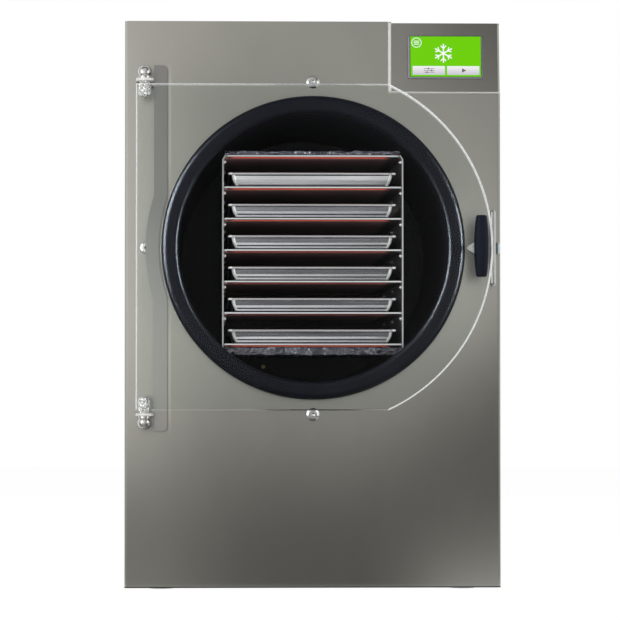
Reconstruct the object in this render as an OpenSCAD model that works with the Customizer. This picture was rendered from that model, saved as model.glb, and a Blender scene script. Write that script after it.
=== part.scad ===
// Free-standing freeze dryer: a steel cabinet round a horizontal vacuum chamber,
// with a clear hinged door, a heated rack of trays and a cooling set below.
// Millimetres. +X is to the right, -Y is the front, +Z is up.
// Every piece is drawn with the cabinet's front face at Y = 0 and is then moved
// by place(), so that the origin is on the floor in the middle of the whole depth.

/* [Cabinet] */
// Width over the side panels
cab_w = 516; // [500:1:640]
// Height from the floor to the top
cab_h = 780; // [760:1:940]
// Depth from the front face to the back face
cab_d = 580; // [578:1:700]
// Thickness of the cabinet's sheet steel
sheet_t = 1.5; // [1:0.1:2]
// Outer radius of the folds in the front panel
fold_r = 4; // [3:0.5:6]
// Depth of the front panel's folded edges
fold_d = 18; // [14:1:24]
// Gap between the floor and the cabinet's lower edge
floor_gap = 3; // [2:0.5:10]
// Height of the base pan's floor above the cabinet's lower edge
pan_rise = 12; // [8:1:20]
// Radius of a foot
foot_r = 18; // [12:1:25]

/* [Control panel] */
// Width of the sloping control panel
panel_w = 150; // [126:1:180]
// Height of the control panel
panel_h = 96; // [84:1:115]
// Distance by which the control panel's top is set back
panel_setback = 17; // [10:1:24]
// Depth of the ledge on which the control panel stands
ledge_d = 10; // [8:1:14]
// Width of the display's frame
display_w = 104; // [80:1:120]
// Height of the display's frame
display_h = 61; // [50:1:70]
// Distance from the panel's lower edge up to the display's frame
display_rise = 18; // [10:1:20]
// Distance from the panel's left edge to the display's frame
display_inset = 22.5; // [10:0.5:26]
// Thickness of the display's frame in front of the panel
display_proud = 1.2; // [0.8:0.1:3]

/* [Vacuum chamber] */
// Inner radius of the chamber
chamber_r = 186; // [184:1:190]
// Thickness of the chamber's wall
chamber_wall = 3; // [2:0.5:4]
// Length inside the chamber behind the front face
chamber_len = 536; // [532:1:538]
// Thickness of the chamber's rear plate
rear_plate_t = 4; // [3:0.5:5]
// Distance from the top of the cabinet down to the chamber's axis
chamber_drop = 312; // [300:1:320]
// Distance by which the chamber's lip stands in front of the cabinet
lip_proud = 12; // [8:1:14]
// Radius of the circle of bolts that hold the chamber's flange
bolt_circle_r = 228; // [225:1:232]
// Radius of a bolt's domed head
bolt_head_r = 8.5; // [7:0.5:10]
// Height of a bolt's domed head
bolt_head_h = 5; // [3:0.5:5]
// Radius of a bolt's shank
bolt_r = 4; // [3:0.5:5]
// Thickness of the chamber's flange
flange_t = 4; // [3:0.5:6]
// Radius of the cooling tube wound on the chamber
coil_tube_r = 4; // [3:0.5:5]
// Radius of the headers that join the turns of cooling tube
header_r = 3; // [2:0.5:3.5]
// Number of turns of cooling tube
coil_turns = 12; // [6:1:16]
// Thickness of the insulation
insulation_t = 25; // [15:1:28]

/* [Gasket] */
// Distance by which the gasket stands in front of the cabinet
gasket_proud = 22; // [18:0.5:24]
// Width of the gasket over the chamber's wall, outwards
gasket_w = 18.5; // [16:0.5:20]
// Radius of the gasket's outer bead
outer_bead_r = 8; // [6:0.5:8]
// Radius of the gasket's inner bead
inner_bead_r = 7; // [4:0.5:7]
// Lap of the gasket over the chamber's mouth, inwards
gasket_lap = 2.5; // [1:0.5:3]

/* [Rack] */
// Width over the rack's side plates
rack_w = 249; // [245:1:252]
// Length of the rack
rack_len = 524; // [515:1:526]
// Thickness of a rack side plate
rack_side_t = 2; // [1.5:0.1:3]
// Number of trays
tray_count = 6; // [4:1:6]
// Distance from one shelf to the next
shelf_pitch = 43.1; // [38:0.1:44]
// Thickness of a shelf
shelf_t = 3.2; // [2:0.1:4]
// Thickness of the heater mat under a shelf
heater_t = 1.5; // [1:0.1:2.5]
// Margin between a heater mat and the edges of its shelf
heater_margin = 2; // [1:0.5:20]
// Distance from the cabinet's front face back to the rack
rack_setback = 8; // [4:1:10]
// Distance by which the middle of the rack lies below the chamber's axis
rack_drop = 2.5; // [0:0.5:4]

/* [Trays] */
// Width over a tray's rolled rim
tray_w = 231; // [190:1:232]
// Length over a tray's rolled rim
tray_len = 521; // [430:1:522]
// Height of a tray
tray_h = 19; // [16:0.5:22]
// Thickness of a tray's wall
tray_wall = 1; // [0.8:0.1:1.5]
// Width of a tray's rim beyond its walls
tray_rim = 4; // [3:0.5:6]
// Distance by which a tray's sides slope inwards down to its floor
tray_slope = 5; // [2:0.5:8]
// Radius of a tray's corners
tray_corner_r = 14; // [10:1:24]

/* [Door] */
// Radius of the door's round side
door_r = 244; // [240:1:246]
// Half the height of the door
door_half_h = 222; // [218:1:226]
// Thickness of the door
door_t = 25; // [23:0.5:30]
// Gap between the door and the gasket
door_gap = 0.3; // [0.2:0.1:1]

/* [Hinge] */
// Distance from the chamber's axis to the hinge pins
hinge_x = 229.7; // [227:0.1:231]
// Radius of a hinge pin
pin_r = 5; // [4:0.5:6]
// Running clearance round a hinge pin
pin_clearance = 0.05; // [0.02:0.01:0.09]
// Radius of a door bush
bush_r = 9; // [7.5:0.5:9.5]
// Length of a door bush inside the door
bush_len = 19; // [15:1:30]
// Width of the hinge plate
plate_w = 18.3; // [16:0.1:20]
// Half the height of the hinge plate
plate_half_h = 250; // [247:1:255]
// Thickness of the hinge plate
plate_t = 3.5; // [2.5:0.1:3.5]
// Gap between the hinge plate and the cabinet
plate_standoff = 6.5; // [6:0.5:8]
// Radius of the hinge plate's bow round the gasket, on its inner side
bow_r = 210.7; // [209:0.1:214]
// Half the height of the bow in the hinge plate
bow_half_h = 71.4; // [66:0.1:75]
// Radius of the hinge plate's outer corners
plate_corner_r = 6; // [2:0.5:8]
// Half the height of the gap between the two ears
ear_half_gap = 226; // [225:0.5:228]
// Outer radius of an ear's fold
ear_fold_r = 5; // [4:0.5:6]
// Height of an acorn nut
nut_h = 18; // [15:0.5:19]
// Distance from corner to corner of an acorn nut
nut_corners = 19.6; // [15:0.1:22]

/* [Latch] */
// Distance from the chamber's axis to the latch's spindle
latch_x = 225.3; // [224:0.1:227]
// Distance by which the handle stands in front of the door
handle_proud = 42; // [35:1:50]
// Length of the handle
handle_len = 83.5; // [70:0.5:100]
// Radius of the handle at its middle
handle_r = 10.2; // [9:0.1:13]
// Radius of the handle at its ends
handle_end_r = 7.4; // [6:0.1:8]
// Radius of the spindle
spindle_r = 5; // [4:0.5:6]
// Radius of the spindle's thinner end, in the cam
spindle_end_r = 4; // [3:0.5:5]
// Height of the latch cam
cam_w = 15.5; // [13:0.5:16]
// Thickness of the latch cam
cam_t = 4.5; // [3:0.5:4.5]
// Reach of the cam's nose from the spindle
cam_nose = 31; // [29:0.5:32]
// Reach of the cam's tail from the spindle
cam_tail = 15; // [10:0.5:15]
// Distance from the chamber's axis to the keeper
keeper_x = 246.2; // [245:0.1:248]
// Radius of the keeper's rods
keeper_r = 4; // [3:0.5:4]
// Half the height of the keeper
keeper_half_h = 52; // [45:1:60]
// Gap between the cam and each rod's end
keeper_clearance = 1; // [0.6:0.1:2]

/* [Cooling set] */
// Radius of the compressor's shell
compressor_r = 80; // [65:1:90]
// Height of the compressor over its feet
compressor_h = 190; // [150:1:200]
// Width and height of the fan's frame
fan_frame_w = 172; // [140:1:190]
// Depth of the fan's frame
fan_frame_d = 38; // [30:1:45]
// Number of fan blades
blade_count = 7; // [5:1:9]
// Depth of the condenser
condenser_d = 45; // [30:1:50]

/* [Connections] */
// Radius of the vacuum hose's nipple
nipple_r = 8; // [6:0.5:10]
// Length of the vacuum hose's nipple
nipple_len = 24; // [16:1:30]
// Radius of the drain hose's spigot
spigot_r = 5; // [4:0.5:6]
// Length of the drain hose's spigot
spigot_len = 18; // [14:1:24]
// Length of the drain valve's lever
lever_len = 46; // [36:1:60]

/* [Hidden] */
shelf_count = tray_count + 1;

$fn = 64;
CUT = 1;                      // how far a cutting shape passes through a face
WELD = 0.5;                   // how far joined shapes of one piece run into each other

STEEL = [0.62, 0.61, 0.57];
BRIGHT = [0.82, 0.82, 0.80];
BLACK = [0.07, 0.07, 0.08];
CLEAR = [0.85, 0.92, 0.92, 0.3];
COPPER = [0.72, 0.42, 0.25];
FOAM = [0.88, 0.82, 0.62];
RUBBER = [0.12, 0.12, 0.12];
SILICONE = [0.72, 0.24, 0.10];
GREEN = [0.45, 0.80, 0.10];

// Where the pieces lie
door_back_y = -(gasket_proud + door_gap);
door_front_y = door_back_y - door_t;
rear_proud = 10 + nipple_len;
front_proud = -door_front_y + handle_proud;
front_y = front_proud - (front_proud + cab_d + rear_proud) / 2;
chamber_z = cab_h - chamber_drop;
side_x = cab_w / 2;
inner_x = side_x - sheet_t;
low_z = floor_gap;
pan_z = low_z + pan_rise;

// Control panel
notch_z = cab_h - panel_h;
notch_x = side_x - panel_w;
panel_tilt = atan((panel_setback - fold_r) / panel_h);
panel_run = panel_h / cos(panel_tilt);
panel_back = sheet_t / cos(panel_tilt);

// Chamber and what is wound round it
chamber_out_r = chamber_r + chamber_wall;
flange_r = bolt_circle_r + 10;
flange_y = sheet_t + flange_t;
rear_y = chamber_len + rear_plate_t;
coil_r = chamber_out_r + coil_tube_r;
foam_in_r = coil_r + coil_tube_r;
foam_out_r = foam_in_r + insulation_t;
foam_back = min(insulation_t, cab_d - sheet_t - rear_y - 6);
bolt_angles = [0, 90, 180, 270];

// Vacuum port high up and drain port low down in the chamber's rear plate
vacuum_x = 90;
vacuum_z = chamber_z + 70;
vacuum_tube_wall = 3;
drain_x = -60;
drain_z = chamber_z - 160;
drain_bore_r = 3;
drain_tube_r = 6;

// Rack, shelves and trays
rack_half_w = rack_w / 2;
rack_in_w = rack_w - 2 * rack_side_t;
rack_z = chamber_z - rack_drop;
rack_low_z = chamber_z - sqrt(pow(chamber_r, 2) - pow(rack_half_w, 2));
shelf_len = rack_len - 4;
top_shelf_z = rack_z + tray_count * shelf_pitch / 2;
rack_high_z = top_shelf_z + shelf_t / 2 + 2;
foil_side_gap = 1;
foil_t = 6.5;
rack_screw_y = [40, 260, 480];
rack_screw_r = 3;
rack_screw_proud = 2.5;
rack_screw_drop = 9;

// Hinge
pin_y = door_back_y - door_t / 2;
plate_back_y = -plate_standoff;
plate_front_y = plate_back_y - plate_t;
plate_out_x = -sqrt(pow(bow_r + plate_w, 2) - pow(bow_half_h, 2));
plate_in_x = plate_out_x + plate_w;
ear_r = hinge_x + plate_out_x;
bush_collar_r = 7;
bush_collar_h = ear_half_gap - door_half_h - 0.8;
bush_dome_r = 6;
pin_depth = bush_len - 4;
nut_bore = nut_h * 2 / 3;
stud_z = [-235, -150, 150, 235];
stud_shoulder_r = 6;
stud_r = 3;

// Latch
handle_y = door_front_y - handle_proud + handle_r;
handle_neck_r = 7;
handle_bore = 14;
handle_bulge = handle_r - handle_end_r;
handle_arc_r = (pow(handle_len / 2, 2) + pow(handle_bulge, 2)) / (2 * handle_bulge);
handle_end_fillet = 2.5;
cam_back_y = -(bolt_head_h + 1.5);
cam_front_y = cam_back_y - cam_t;
rod_y = cam_front_y - 0.5 - keeper_r;
rod_gap = cam_w / 2 + keeper_clearance;
keeper_base_t = 2.5;

// Cooling set
compressor_x = -90;
compressor_y = 290;
saddle_y = [130, 440];
saddle_t = 3;
saddle_x = 205;
rail_w = 20;
fan_x = 100;
fan_z = pan_z + sheet_t + fan_frame_w / 2 + 4;
fan_y = cab_d - sheet_t - fan_frame_d;
fan_hole_r = fan_frame_w / 2 - 6;
fan_boss_r = 32;
fan_boss_d = 12;
fan_shaft_r = 3;
condenser_w = fan_frame_w + 24;
condenser_y = fan_y - condenser_d;
box_size = [176, 260, 52];

// Back connections
inlet_x = -170;
inlet_z = pan_z + 105;
inlet_w = 60;
inlet_h = 36;
inlet_flange_t = 3;
inlet_body_d = 24;
socket_size = [24.5, 18, 16.5];
socket_dx = -12;
rocker_dx = 17;
rocker_w = 12;
rocker_r = 10.3;
rocker_slot_r = 11;
rocker_pin_r = 1.5;
valve_r = 9;
valve_d = 18;
stem_r = 4;
lever_t = 3;
lever_w = 12;

// ---------------------------------------------------------------- helpers

// Moves a piece from the front face's frame into the part's own frame
module place() {
    translate([0, front_y, 0]) children();
}

// Turns a shape drawn along Z so that it runs along Y, about a point
module along_y(x, y, z) {
    translate([x, y, z]) rotate([-90, 0, 0]) children();
}

// A plate of thickness t in the XZ plane whose near face is at y
module plate_xz(y, t) {
    translate([0, y + t, 0]) rotate([90, 0, 0]) linear_extrude(t) children();
}

// A plate of thickness t in the YZ plane that starts at x
module plate_yz(x, t) {
    translate([x, 0, 0]) rotate([90, 0, 90]) linear_extrude(t) children();
}

// A flat rectangle with round corners, centred on the origin
module round_rect(w, h, r) {
    square([w - 2 * r, h], center = true);
    square([w, h - 2 * r], center = true);
    for (x = [-1, 1], y = [-1, 1]) translate([x * (w / 2 - r), y * (h / 2 - r)]) circle(r);
}

// A slot with round ends, centred on the origin
module slot(len, w) {
    square([len - w, w], center = true);
    for (x = [-1, 1]) translate([x * (len - w) / 2, 0]) circle(w / 2);
}

// Section of a sheet fold at x: the bend and the edge that runs back to depth d
module fold_section(x, side, d) {
    intersection() {
        translate([x - side * fold_r, fold_r]) difference() {
            circle(fold_r);
            circle(fold_r - sheet_t);
        }
        translate([side > 0 ? x - fold_r : x, 0]) square(fold_r);
    }
    translate([side > 0 ? x - sheet_t : x, fold_r]) square([sheet_t, d - fold_r]);
}

// Control panel's own frame: its lower edge at the origin, its face in the XZ plane
module on_panel() {
    translate([0, fold_r, notch_z]) rotate([-panel_tilt, 0, 0]) children();
}

// ---------------------------------------------------------------- cabinet

module front_panel() {
    color(STEEL) place() difference() {
        union() {
            // full width below the control panel
            difference() {
                translate([0, 0, low_z]) linear_extrude(notch_z - low_z) {
                    translate([-side_x + fold_r, 0]) square([cab_w - 2 * fold_r, sheet_t]);
                    fold_section(-side_x, -1, fold_d);
                    fold_section(side_x, 1, fold_d);
                }
                ledge_corner();
            }
            ledge();
            // beside the control panel, with a cheek at the right
            translate([0, 0, notch_z]) linear_extrude(panel_h - sheet_t) {
                translate([-side_x + fold_r, 0])
                    square([notch_x + side_x - 2 * fold_r, sheet_t]);
                fold_section(-side_x, -1, fold_d);
                fold_section(notch_x, 1, panel_setback + panel_back + 4);
            }
            // the face alone reaches the top
            translate([0, 0, cab_h - sheet_t]) linear_extrude(sheet_t)
                translate([-side_x + fold_r, 0])
                    square([notch_x + side_x - 2 * fold_r, sheet_t]);
        }
        along_y(0, -CUT, chamber_z) cylinder(r = chamber_out_r + 1, h = sheet_t + 2 * CUT);
        bolt_holes(-CUT, sheet_t + 2 * CUT);
        for (z = stud_z)
            along_y(stud_x(), -CUT, chamber_z + z) cylinder(r = stud_r, h = sheet_t + 2 * CUT);
    }
}

// The fold along the control panel's foot, the ledge behind it, and their round corner
module ledge() {
    corner = [side_x - fold_r, fold_r, notch_z - fold_r];
    plate_yz(notch_x, panel_w - fold_r) intersection() {
        translate([fold_r, notch_z - fold_r]) difference() {
            circle(fold_r);
            circle(fold_r - sheet_t);
        }
        translate([0, notch_z - fold_r]) square(fold_r);
    }
    translate([notch_x - sheet_t, fold_r, notch_z - sheet_t])
        cube([panel_w + sheet_t / 2, ledge_d, sheet_t]);
    intersection() {
        translate(corner) sphere(fold_r);
        translate([corner[0], 0, corner[2]]) cube(fold_r);
    }
}

// Room for the fold along the control panel's foot
module ledge_corner() {
    translate([notch_x, -CUT, notch_z - fold_r])
        cube([panel_w + CUT, fold_r + CUT, fold_r + CUT]);
}

module control_panel() {
    color(STEEL) place() difference() {
        intersection() {
            on_panel() translate([0, 0, -40]) linear_extrude(panel_run + 80) {
                translate([notch_x, 0]) square([panel_w - fold_r, sheet_t]);
                fold_section(side_x, 1, fold_d);
            }
            translate([notch_x, -CUT, notch_z]) cube([panel_w, fold_d + 60, panel_h]);
        }
        on_panel() display_body(0);
        translate([notch_x, panel_setback + panel_back, cab_h - sheet_t])
            cube([panel_w + CUT, fold_d + 60, sheet_t + CUT]);
    }
}

// The part of the display that passes through the control panel
module display_body(gap) {
    margin = 4;
    translate([notch_x + display_inset + margin - gap, -gap, display_rise + margin - gap])
        cube([display_w - 2 * margin + 2 * gap, 16, display_h - 2 * margin + 2 * gap]);
}

module touch_display() {
    color(GREEN) place() on_panel() {
        translate([notch_x + display_inset + display_w / 2, 0, display_rise + display_h / 2])
            plate_xz(-display_proud, display_proud) round_rect(display_w, display_h, 2.5);
        display_body(0);
    }
}

// Outline of a side panel, in Y and Z; foot and top set its upper front edge back
module side_outline(foot, top) {
    polygon([[fold_d, low_z], [cab_d, low_z], [cab_d, cab_h - sheet_t],
             [fold_d + top, cab_h - sheet_t], [fold_d + foot, notch_z], [fold_d, notch_z]]);
}

// Rows of ventilation slots low down in a side panel
module side_vents() {
    for (row = [0:9], column = [0:1])
        translate([cab_d - 190 + 80 * column, low_z + 50 + 12 * row]) slot(60, 4);
}

module side_panel_left() {
    color(STEEL) place() plate_yz(-side_x, sheet_t) difference() {
        side_outline(0, 0);
        side_vents();
    }
}

module side_panel_right() {
    slant = (panel_h - sheet_t) * tan(panel_tilt);
    color(STEEL) place() difference() {
        plate_yz(inner_x, sheet_t) difference() {
            side_outline(fold_r, fold_r + slant);
            side_vents();
        }
        // clear of the control panel's folded edge
        intersection() {
            on_panel() translate([inner_x - CUT, -CUT, 0])
                cube([sheet_t + 2 * CUT, fold_d + CUT, panel_run + 20]);
            translate([inner_x - CUT, 0, notch_z])
                cube([sheet_t + 2 * CUT, cab_d, panel_h + CUT]);
        }
    }
}

module top_panel() {
    back = panel_setback + panel_back;
    color(STEEL) place() translate([0, 0, cab_h - sheet_t]) linear_extrude(sheet_t) {
        translate([-side_x, fold_r]) square([notch_x + side_x, cab_d - fold_r]);
        translate([-side_x + fold_r, sheet_t])
            square([notch_x + side_x - 2 * fold_r, fold_r]);
        translate([notch_x - WELD, back])
            square([panel_w + WELD, cab_d - back]);
    }
}

// The fan's grille: rows of slots inside a circle, split down the middle
module fan_grille() {
    pitch = 9;
    rib = 6;
    rows = floor((fan_hole_r - 8) / pitch);
    for (row = [-rows:rows]) {
        half = sqrt(pow(fan_hole_r, 2) - pow(row * pitch, 2)) - rib / 2;
        for (side = [-1, 1])
            translate([fan_x + side * (half + rib) / 2, fan_z + row * pitch]) slot(half, 5);
    }
}

module back_panel() {
    color(STEEL) place() difference() {
        plate_xz(cab_d - sheet_t, sheet_t) difference() {
            translate([-inner_x, low_z]) square([2 * inner_x, cab_h - sheet_t - low_z]);
            fan_grille();
            translate([inlet_x, inlet_z]) round_rect(inlet_w - 8, inlet_h - 8, 2);
        }
        along_y(vacuum_x, cab_d - sheet_t - CUT, vacuum_z)
            cylinder(r = nipple_r, h = sheet_t + 2 * CUT);
        along_y(drain_x, cab_d - sheet_t - CUT, drain_z)
            cylinder(r = drain_tube_r, h = sheet_t + 2 * CUT);
    }
}

module base_pan() {
    depth = cab_d - sheet_t - fold_r;
    color(STEEL) place() translate([0, fold_r, low_z]) difference() {
        translate([-inner_x, 0, 0]) cube([2 * inner_x, depth, pan_rise + sheet_t]);
        translate([-inner_x + sheet_t, sheet_t, -CUT])
            cube([2 * (inner_x - sheet_t), depth - 2 * sheet_t, pan_rise + CUT]);
    }
}

module feet() {
    inset = 50;
    color(RUBBER) place()
        for (x = [-1, 1], y = [inset, cab_d - inset])
            translate([x * (side_x - inset), y, 0]) cylinder(r = foot_r, h = pan_z);
}

// ---------------------------------------------------------------- chamber

// Holes for the four bolts, from depth y over length len
module bolt_holes(y, len) {
    for (a = bolt_angles)
        along_y(bolt_circle_r * cos(a), y, chamber_z + bolt_circle_r * sin(a))
            cylinder(r = bolt_r, h = len);
}

module chamber() {
    color(BLACK) place() difference() {
        union() {
            along_y(0, -lip_proud, chamber_z) cylinder(r = chamber_out_r, h = lip_proud + rear_y);
            along_y(0, sheet_t, chamber_z) cylinder(r = flange_r, h = flange_t);
            along_y(vacuum_x, rear_y - WELD, vacuum_z)
                cylinder(r = nipple_r + vacuum_tube_wall, h = cab_d - sheet_t - rear_y + WELD);
            along_y(drain_x, rear_y - WELD, drain_z)
                cylinder(r = drain_tube_r, h = cab_d - rear_y + WELD);
        }
        along_y(0, -lip_proud - CUT, chamber_z)
            cylinder(r = chamber_r, h = lip_proud + chamber_len + CUT);
        along_y(vacuum_x, chamber_len - CUT, vacuum_z) cylinder(r = nipple_r, h = cab_d);
        along_y(drain_x, chamber_len - CUT, drain_z) cylinder(r = drain_bore_r, h = cab_d);
        bolt_holes(sheet_t - CUT, flange_t + 2 * CUT);
    }
}

module chamber_gasket() {
    seat_depth = lip_proud;
    outer_r = chamber_out_r + gasket_w;
    inner_c = chamber_r + inner_bead_r - gasket_lap;
    outer_c = outer_r - outer_bead_r;
    color(BLACK) place() translate([0, 0, chamber_z]) rotate([90, 0, 0]) rotate_extrude()
        difference() {
            union() {
                translate([chamber_out_r, 0])
                    square([gasket_w - 1, gasket_proud - outer_bead_r]);
                translate([inner_c, 0]) square([outer_c - inner_c, gasket_proud]);
                translate([outer_c, gasket_proud - outer_bead_r]) circle(outer_bead_r);
                translate([inner_c, gasket_proud - inner_bead_r]) circle(inner_bead_r);
                translate([inner_c - inner_bead_r, seat_depth])
                    square([inner_bead_r * 2, gasket_proud - inner_bead_r - seat_depth]);
            }
            translate([chamber_r - 4, -CUT]) square([chamber_wall + 4, seat_depth + CUT]);
        }
}

module chamber_bolts() {
    dome_r = (pow(bolt_head_r, 2) + pow(bolt_head_h, 2)) / (2 * bolt_head_h);
    color(BRIGHT) place()
        for (a = bolt_angles)
            translate([bolt_circle_r * cos(a), 0, chamber_z + bolt_circle_r * sin(a)]) {
                rotate([90, 0, 0]) intersection() {
                    translate([0, 0, bolt_head_h - dome_r]) sphere(dome_r);
                    cylinder(r = bolt_head_r, h = bolt_head_h + CUT);
                }
                rotate([-90, 0, 0]) translate([0, 0, -WELD])
                    cylinder(r = bolt_r, h = flange_y + 8 + WELD);
            }
}

module evaporator_coil() {
    first = 40;
    pitch = (chamber_len - 2 * first) / (coil_turns - 1);
    color(COPPER) place() translate([0, 0, chamber_z]) {
        for (i = [0:coil_turns - 1])
            along_y(0, first + i * pitch, 0) rotate_extrude() translate([coil_r, 0])
                circle(coil_tube_r);
        // two headers join the turns
        for (a = [250, 290])
            along_y(coil_r * cos(a), first, coil_r * sin(a))
                cylinder(r = header_r, h = (coil_turns - 1) * pitch);
    }
}

module chamber_insulation() {
    color(FOAM) place() difference() {
        along_y(0, flange_y, chamber_z)
            cylinder(r = foam_out_r, h = rear_y + foam_back - flange_y);
        along_y(0, flange_y - CUT, chamber_z)
            cylinder(r = foam_in_r, h = rear_y - flange_y + CUT);
        along_y(vacuum_x, rear_y - CUT, vacuum_z)
            cylinder(r = nipple_r + vacuum_tube_wall, h = cab_d);
        along_y(drain_x, rear_y - CUT, drain_z) cylinder(r = drain_tube_r, h = cab_d);
        bolt_end_pockets();
    }
}

// Room in the insulation for the ends of the bolts
module bolt_end_pockets() {
    for (a = bolt_angles)
        along_y(bolt_circle_r * cos(a), flange_y - CUT, chamber_z + bolt_circle_r * sin(a))
            cylinder(r = bolt_r + 1, h = 12);
}

module chamber_cradle() {
    floor_z = pan_z + sheet_t;
    color(STEEL) place() {
        for (y = saddle_y)
            difference() {
                plate_xz(y, saddle_t) difference() {
                    translate([-saddle_x, floor_z])
                        square([2 * saddle_x, chamber_z - 120 - floor_z]);
                    translate([0, (floor_z + chamber_z - foam_out_r) / 2])
                        round_rect(saddle_x * 1.5, (chamber_z - foam_out_r - floor_z) * 0.6, 15);
                }
                along_y(0, y - CUT, chamber_z) cylinder(r = foam_out_r, h = saddle_t + 2 * CUT);
            }
        for (side = [-1, 1])
            translate([side * (saddle_x - rail_w / 2) - rail_w / 2, saddle_y[0], floor_z])
                cube([rail_w, saddle_y[1] - saddle_y[0] + saddle_t, 3]);
    }
}

// ---------------------------------------------------------------- rack and trays

module rack_side(side) {
    x = side > 0 ? rack_half_w - rack_side_t : -rack_half_w;
    color(BRIGHT) place() translate([x, rack_setback, rack_low_z])
        cube([rack_side_t, rack_len, rack_high_z - rack_low_z]);
}

module rack_side_left() {
    rack_side(-1);
}

module rack_side_right() {
    rack_side(1);
}

// Height of the underside of shelf i; shelf 1 is the lowest
function shelf_z(i) = rack_z + (i - 1 - tray_count / 2) * shelf_pitch - shelf_t / 2;

module shelf(i) {
    color(BRIGHT) place() translate([-rack_in_w / 2, rack_setback, shelf_z(i)])
        cube([rack_in_w, shelf_len, shelf_t]);
}

module heater(i) {
    color(SILICONE) place()
        translate([-rack_in_w / 2 + heater_margin, rack_setback + heater_margin,
                   shelf_z(i) - heater_t])
            cube([rack_in_w - 2 * heater_margin, shelf_len - 2 * heater_margin, heater_t]);
}

module rack_screws() {
    color(BRIGHT) place()
        for (i = [2:shelf_count], side = [-1, 1], y = rack_screw_y)
            translate([side * (rack_in_w / 2), y + rack_setback - 30, shelf_z(i) - rack_screw_drop])
                rotate([0, -side * 90, 0]) {
                    cylinder(r = rack_screw_r, h = rack_screw_proud);
                }
}

module foil_top() {
    w = rack_in_w - 2 * foil_side_gap;
    color(BRIGHT) place()
        translate([-w / 2, rack_setback + 2, shelf_z(shelf_count) + shelf_t])
            cube([w, shelf_len - 20, foil_t]);
}

module foil_bottom() {
    w = rack_in_w - 2 * foil_side_gap;
    drop = 12;
    color(BRIGHT) place() intersection() {
        translate([-w / 2, rack_setback + 2, shelf_z(1) - heater_t - drop])
            cube([w, shelf_len - 20, drop]);
        along_y(0, 0, chamber_z) cylinder(r = chamber_r - 2, h = chamber_len);
    }
}

// A thin slab with round corners: one level of a tray
module tray_level(w, l, z, t) {
    translate([0, 0, z]) linear_extrude(t) round_rect(w, l, tray_corner_r, $fn = 32);
}

// Height at which tray i stands, on top of shelf i
function tray_z(i) = shelf_z(i) + shelf_t;

module tray(i) {
    top_w = tray_w - 2 * tray_rim;
    top_l = tray_len - 2 * tray_rim;
    low_w = top_w - 2 * tray_slope;
    low_l = top_l - 2 * tray_slope;
    skin = 0.1;
    rim_t = 2;
    color(BRIGHT) place()
        translate([0, rack_setback + 1 + tray_len / 2, tray_z(i)]) difference() {
            union() {
                hull() {
                    tray_level(low_w, low_l, 0, skin);
                    tray_level(top_w, top_l, tray_h - skin, skin);
                }
                tray_level(tray_w, tray_len, tray_h - rim_t, rim_t);
            }
            hull() {
                tray_level(low_w - 2 * tray_wall, low_l - 2 * tray_wall, tray_wall, skin);
                tray_level(top_w - 2 * tray_wall, top_l - 2 * tray_wall, tray_h + CUT, skin);
            }
        }
}

// ---------------------------------------------------------------- door and hinge

// The door's outline: straight at the hinge side, round at the latch side
module door_outline() {
    translate([-hinge_x - 11.8, -door_half_h]) square([hinge_x + 11.8, 2 * door_half_h]);
    intersection() {
        circle(door_r);
        translate([0, -door_half_h]) square([door_r, 2 * door_half_h]);
    }
}

// Mirrors what is drawn for the upper hinge point down to the lower one
module both_hinges() {
    for (side = [0, 1])
        translate([-hinge_x, pin_y, chamber_z]) mirror([0, 0, side]) children();
}

module door() {
    color(CLEAR) place() difference() {
        translate([0, 0, chamber_z]) plate_xz(door_front_y, door_t) door_outline();
        both_hinges() bush_body(CUT);
        along_y(latch_x, door_front_y - CUT, chamber_z)
            cylinder(r = spindle_r + pin_clearance, h = door_t + 2 * CUT);
    }
}

// A bush's body with a round lower end; extra lengthens it upwards
module bush_body(extra) {
    translate([0, 0, door_half_h - bush_len]) rotate_extrude() {
        translate([0, bush_dome_r]) square([bush_r, bush_len - bush_dome_r + extra]);
        square([bush_r - bush_dome_r, bush_len]);
        intersection() {
            translate([bush_r - bush_dome_r, bush_dome_r]) circle(bush_dome_r);
            square([bush_r, bush_len]);
        }
    }
}

module door_bushes() {
    color(BRIGHT) place() both_hinges() difference() {
        union() {
            bush_body(0);
            translate([0, 0, door_half_h - WELD])
                cylinder(r = bush_collar_r, h = bush_collar_h + WELD);
        }
        translate([0, 0, door_half_h - pin_depth - 1])
            cylinder(r = pin_r + pin_clearance, h = pin_depth + bush_collar_h + 1 + CUT);
    }
}

// Middle of the strip of the hinge plate
function stud_x() = (plate_out_x + plate_in_x) / 2;

// The strip of the hinge plate, bowed round the gasket, in X and Z
module plate_outline() {
    r = plate_corner_r;
    difference() {
        union() {
            translate([plate_out_x, -plate_half_h]) square([plate_w - r, 2 * plate_half_h]);
            translate([plate_out_x, -plate_half_h + r])
                square([plate_w, 2 * (plate_half_h - r)]);
            for (side = [-1, 1])
                translate([plate_in_x - r, side * (plate_half_h - r)]) circle(r);
        }
        circle(bow_r);
    }
    intersection() {
        difference() {
            circle(bow_r + plate_w);
            circle(bow_r);
        }
        translate([-bow_r - plate_w, -bow_half_h])
            square([bow_r + plate_w + plate_in_x, 2 * bow_half_h]);
    }
}

// Side view of an ear's lug and fold, in Y and Z, for the upper ear
module ear_section() {
    top = ear_half_gap + plate_t;
    lug = 10;
    translate([plate_front_y, top - lug]) square([plate_t, lug - ear_fold_r]);
    translate([pin_y, ear_half_gap]) square([plate_back_y - ear_fold_r - pin_y, plate_t]);
    intersection() {
        translate([plate_back_y - ear_fold_r, top - ear_fold_r]) difference() {
            circle(ear_fold_r);
            circle(ear_fold_r - plate_t);
        }
        translate([plate_back_y - ear_fold_r, top - ear_fold_r]) square(ear_fold_r);
    }
}

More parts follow.
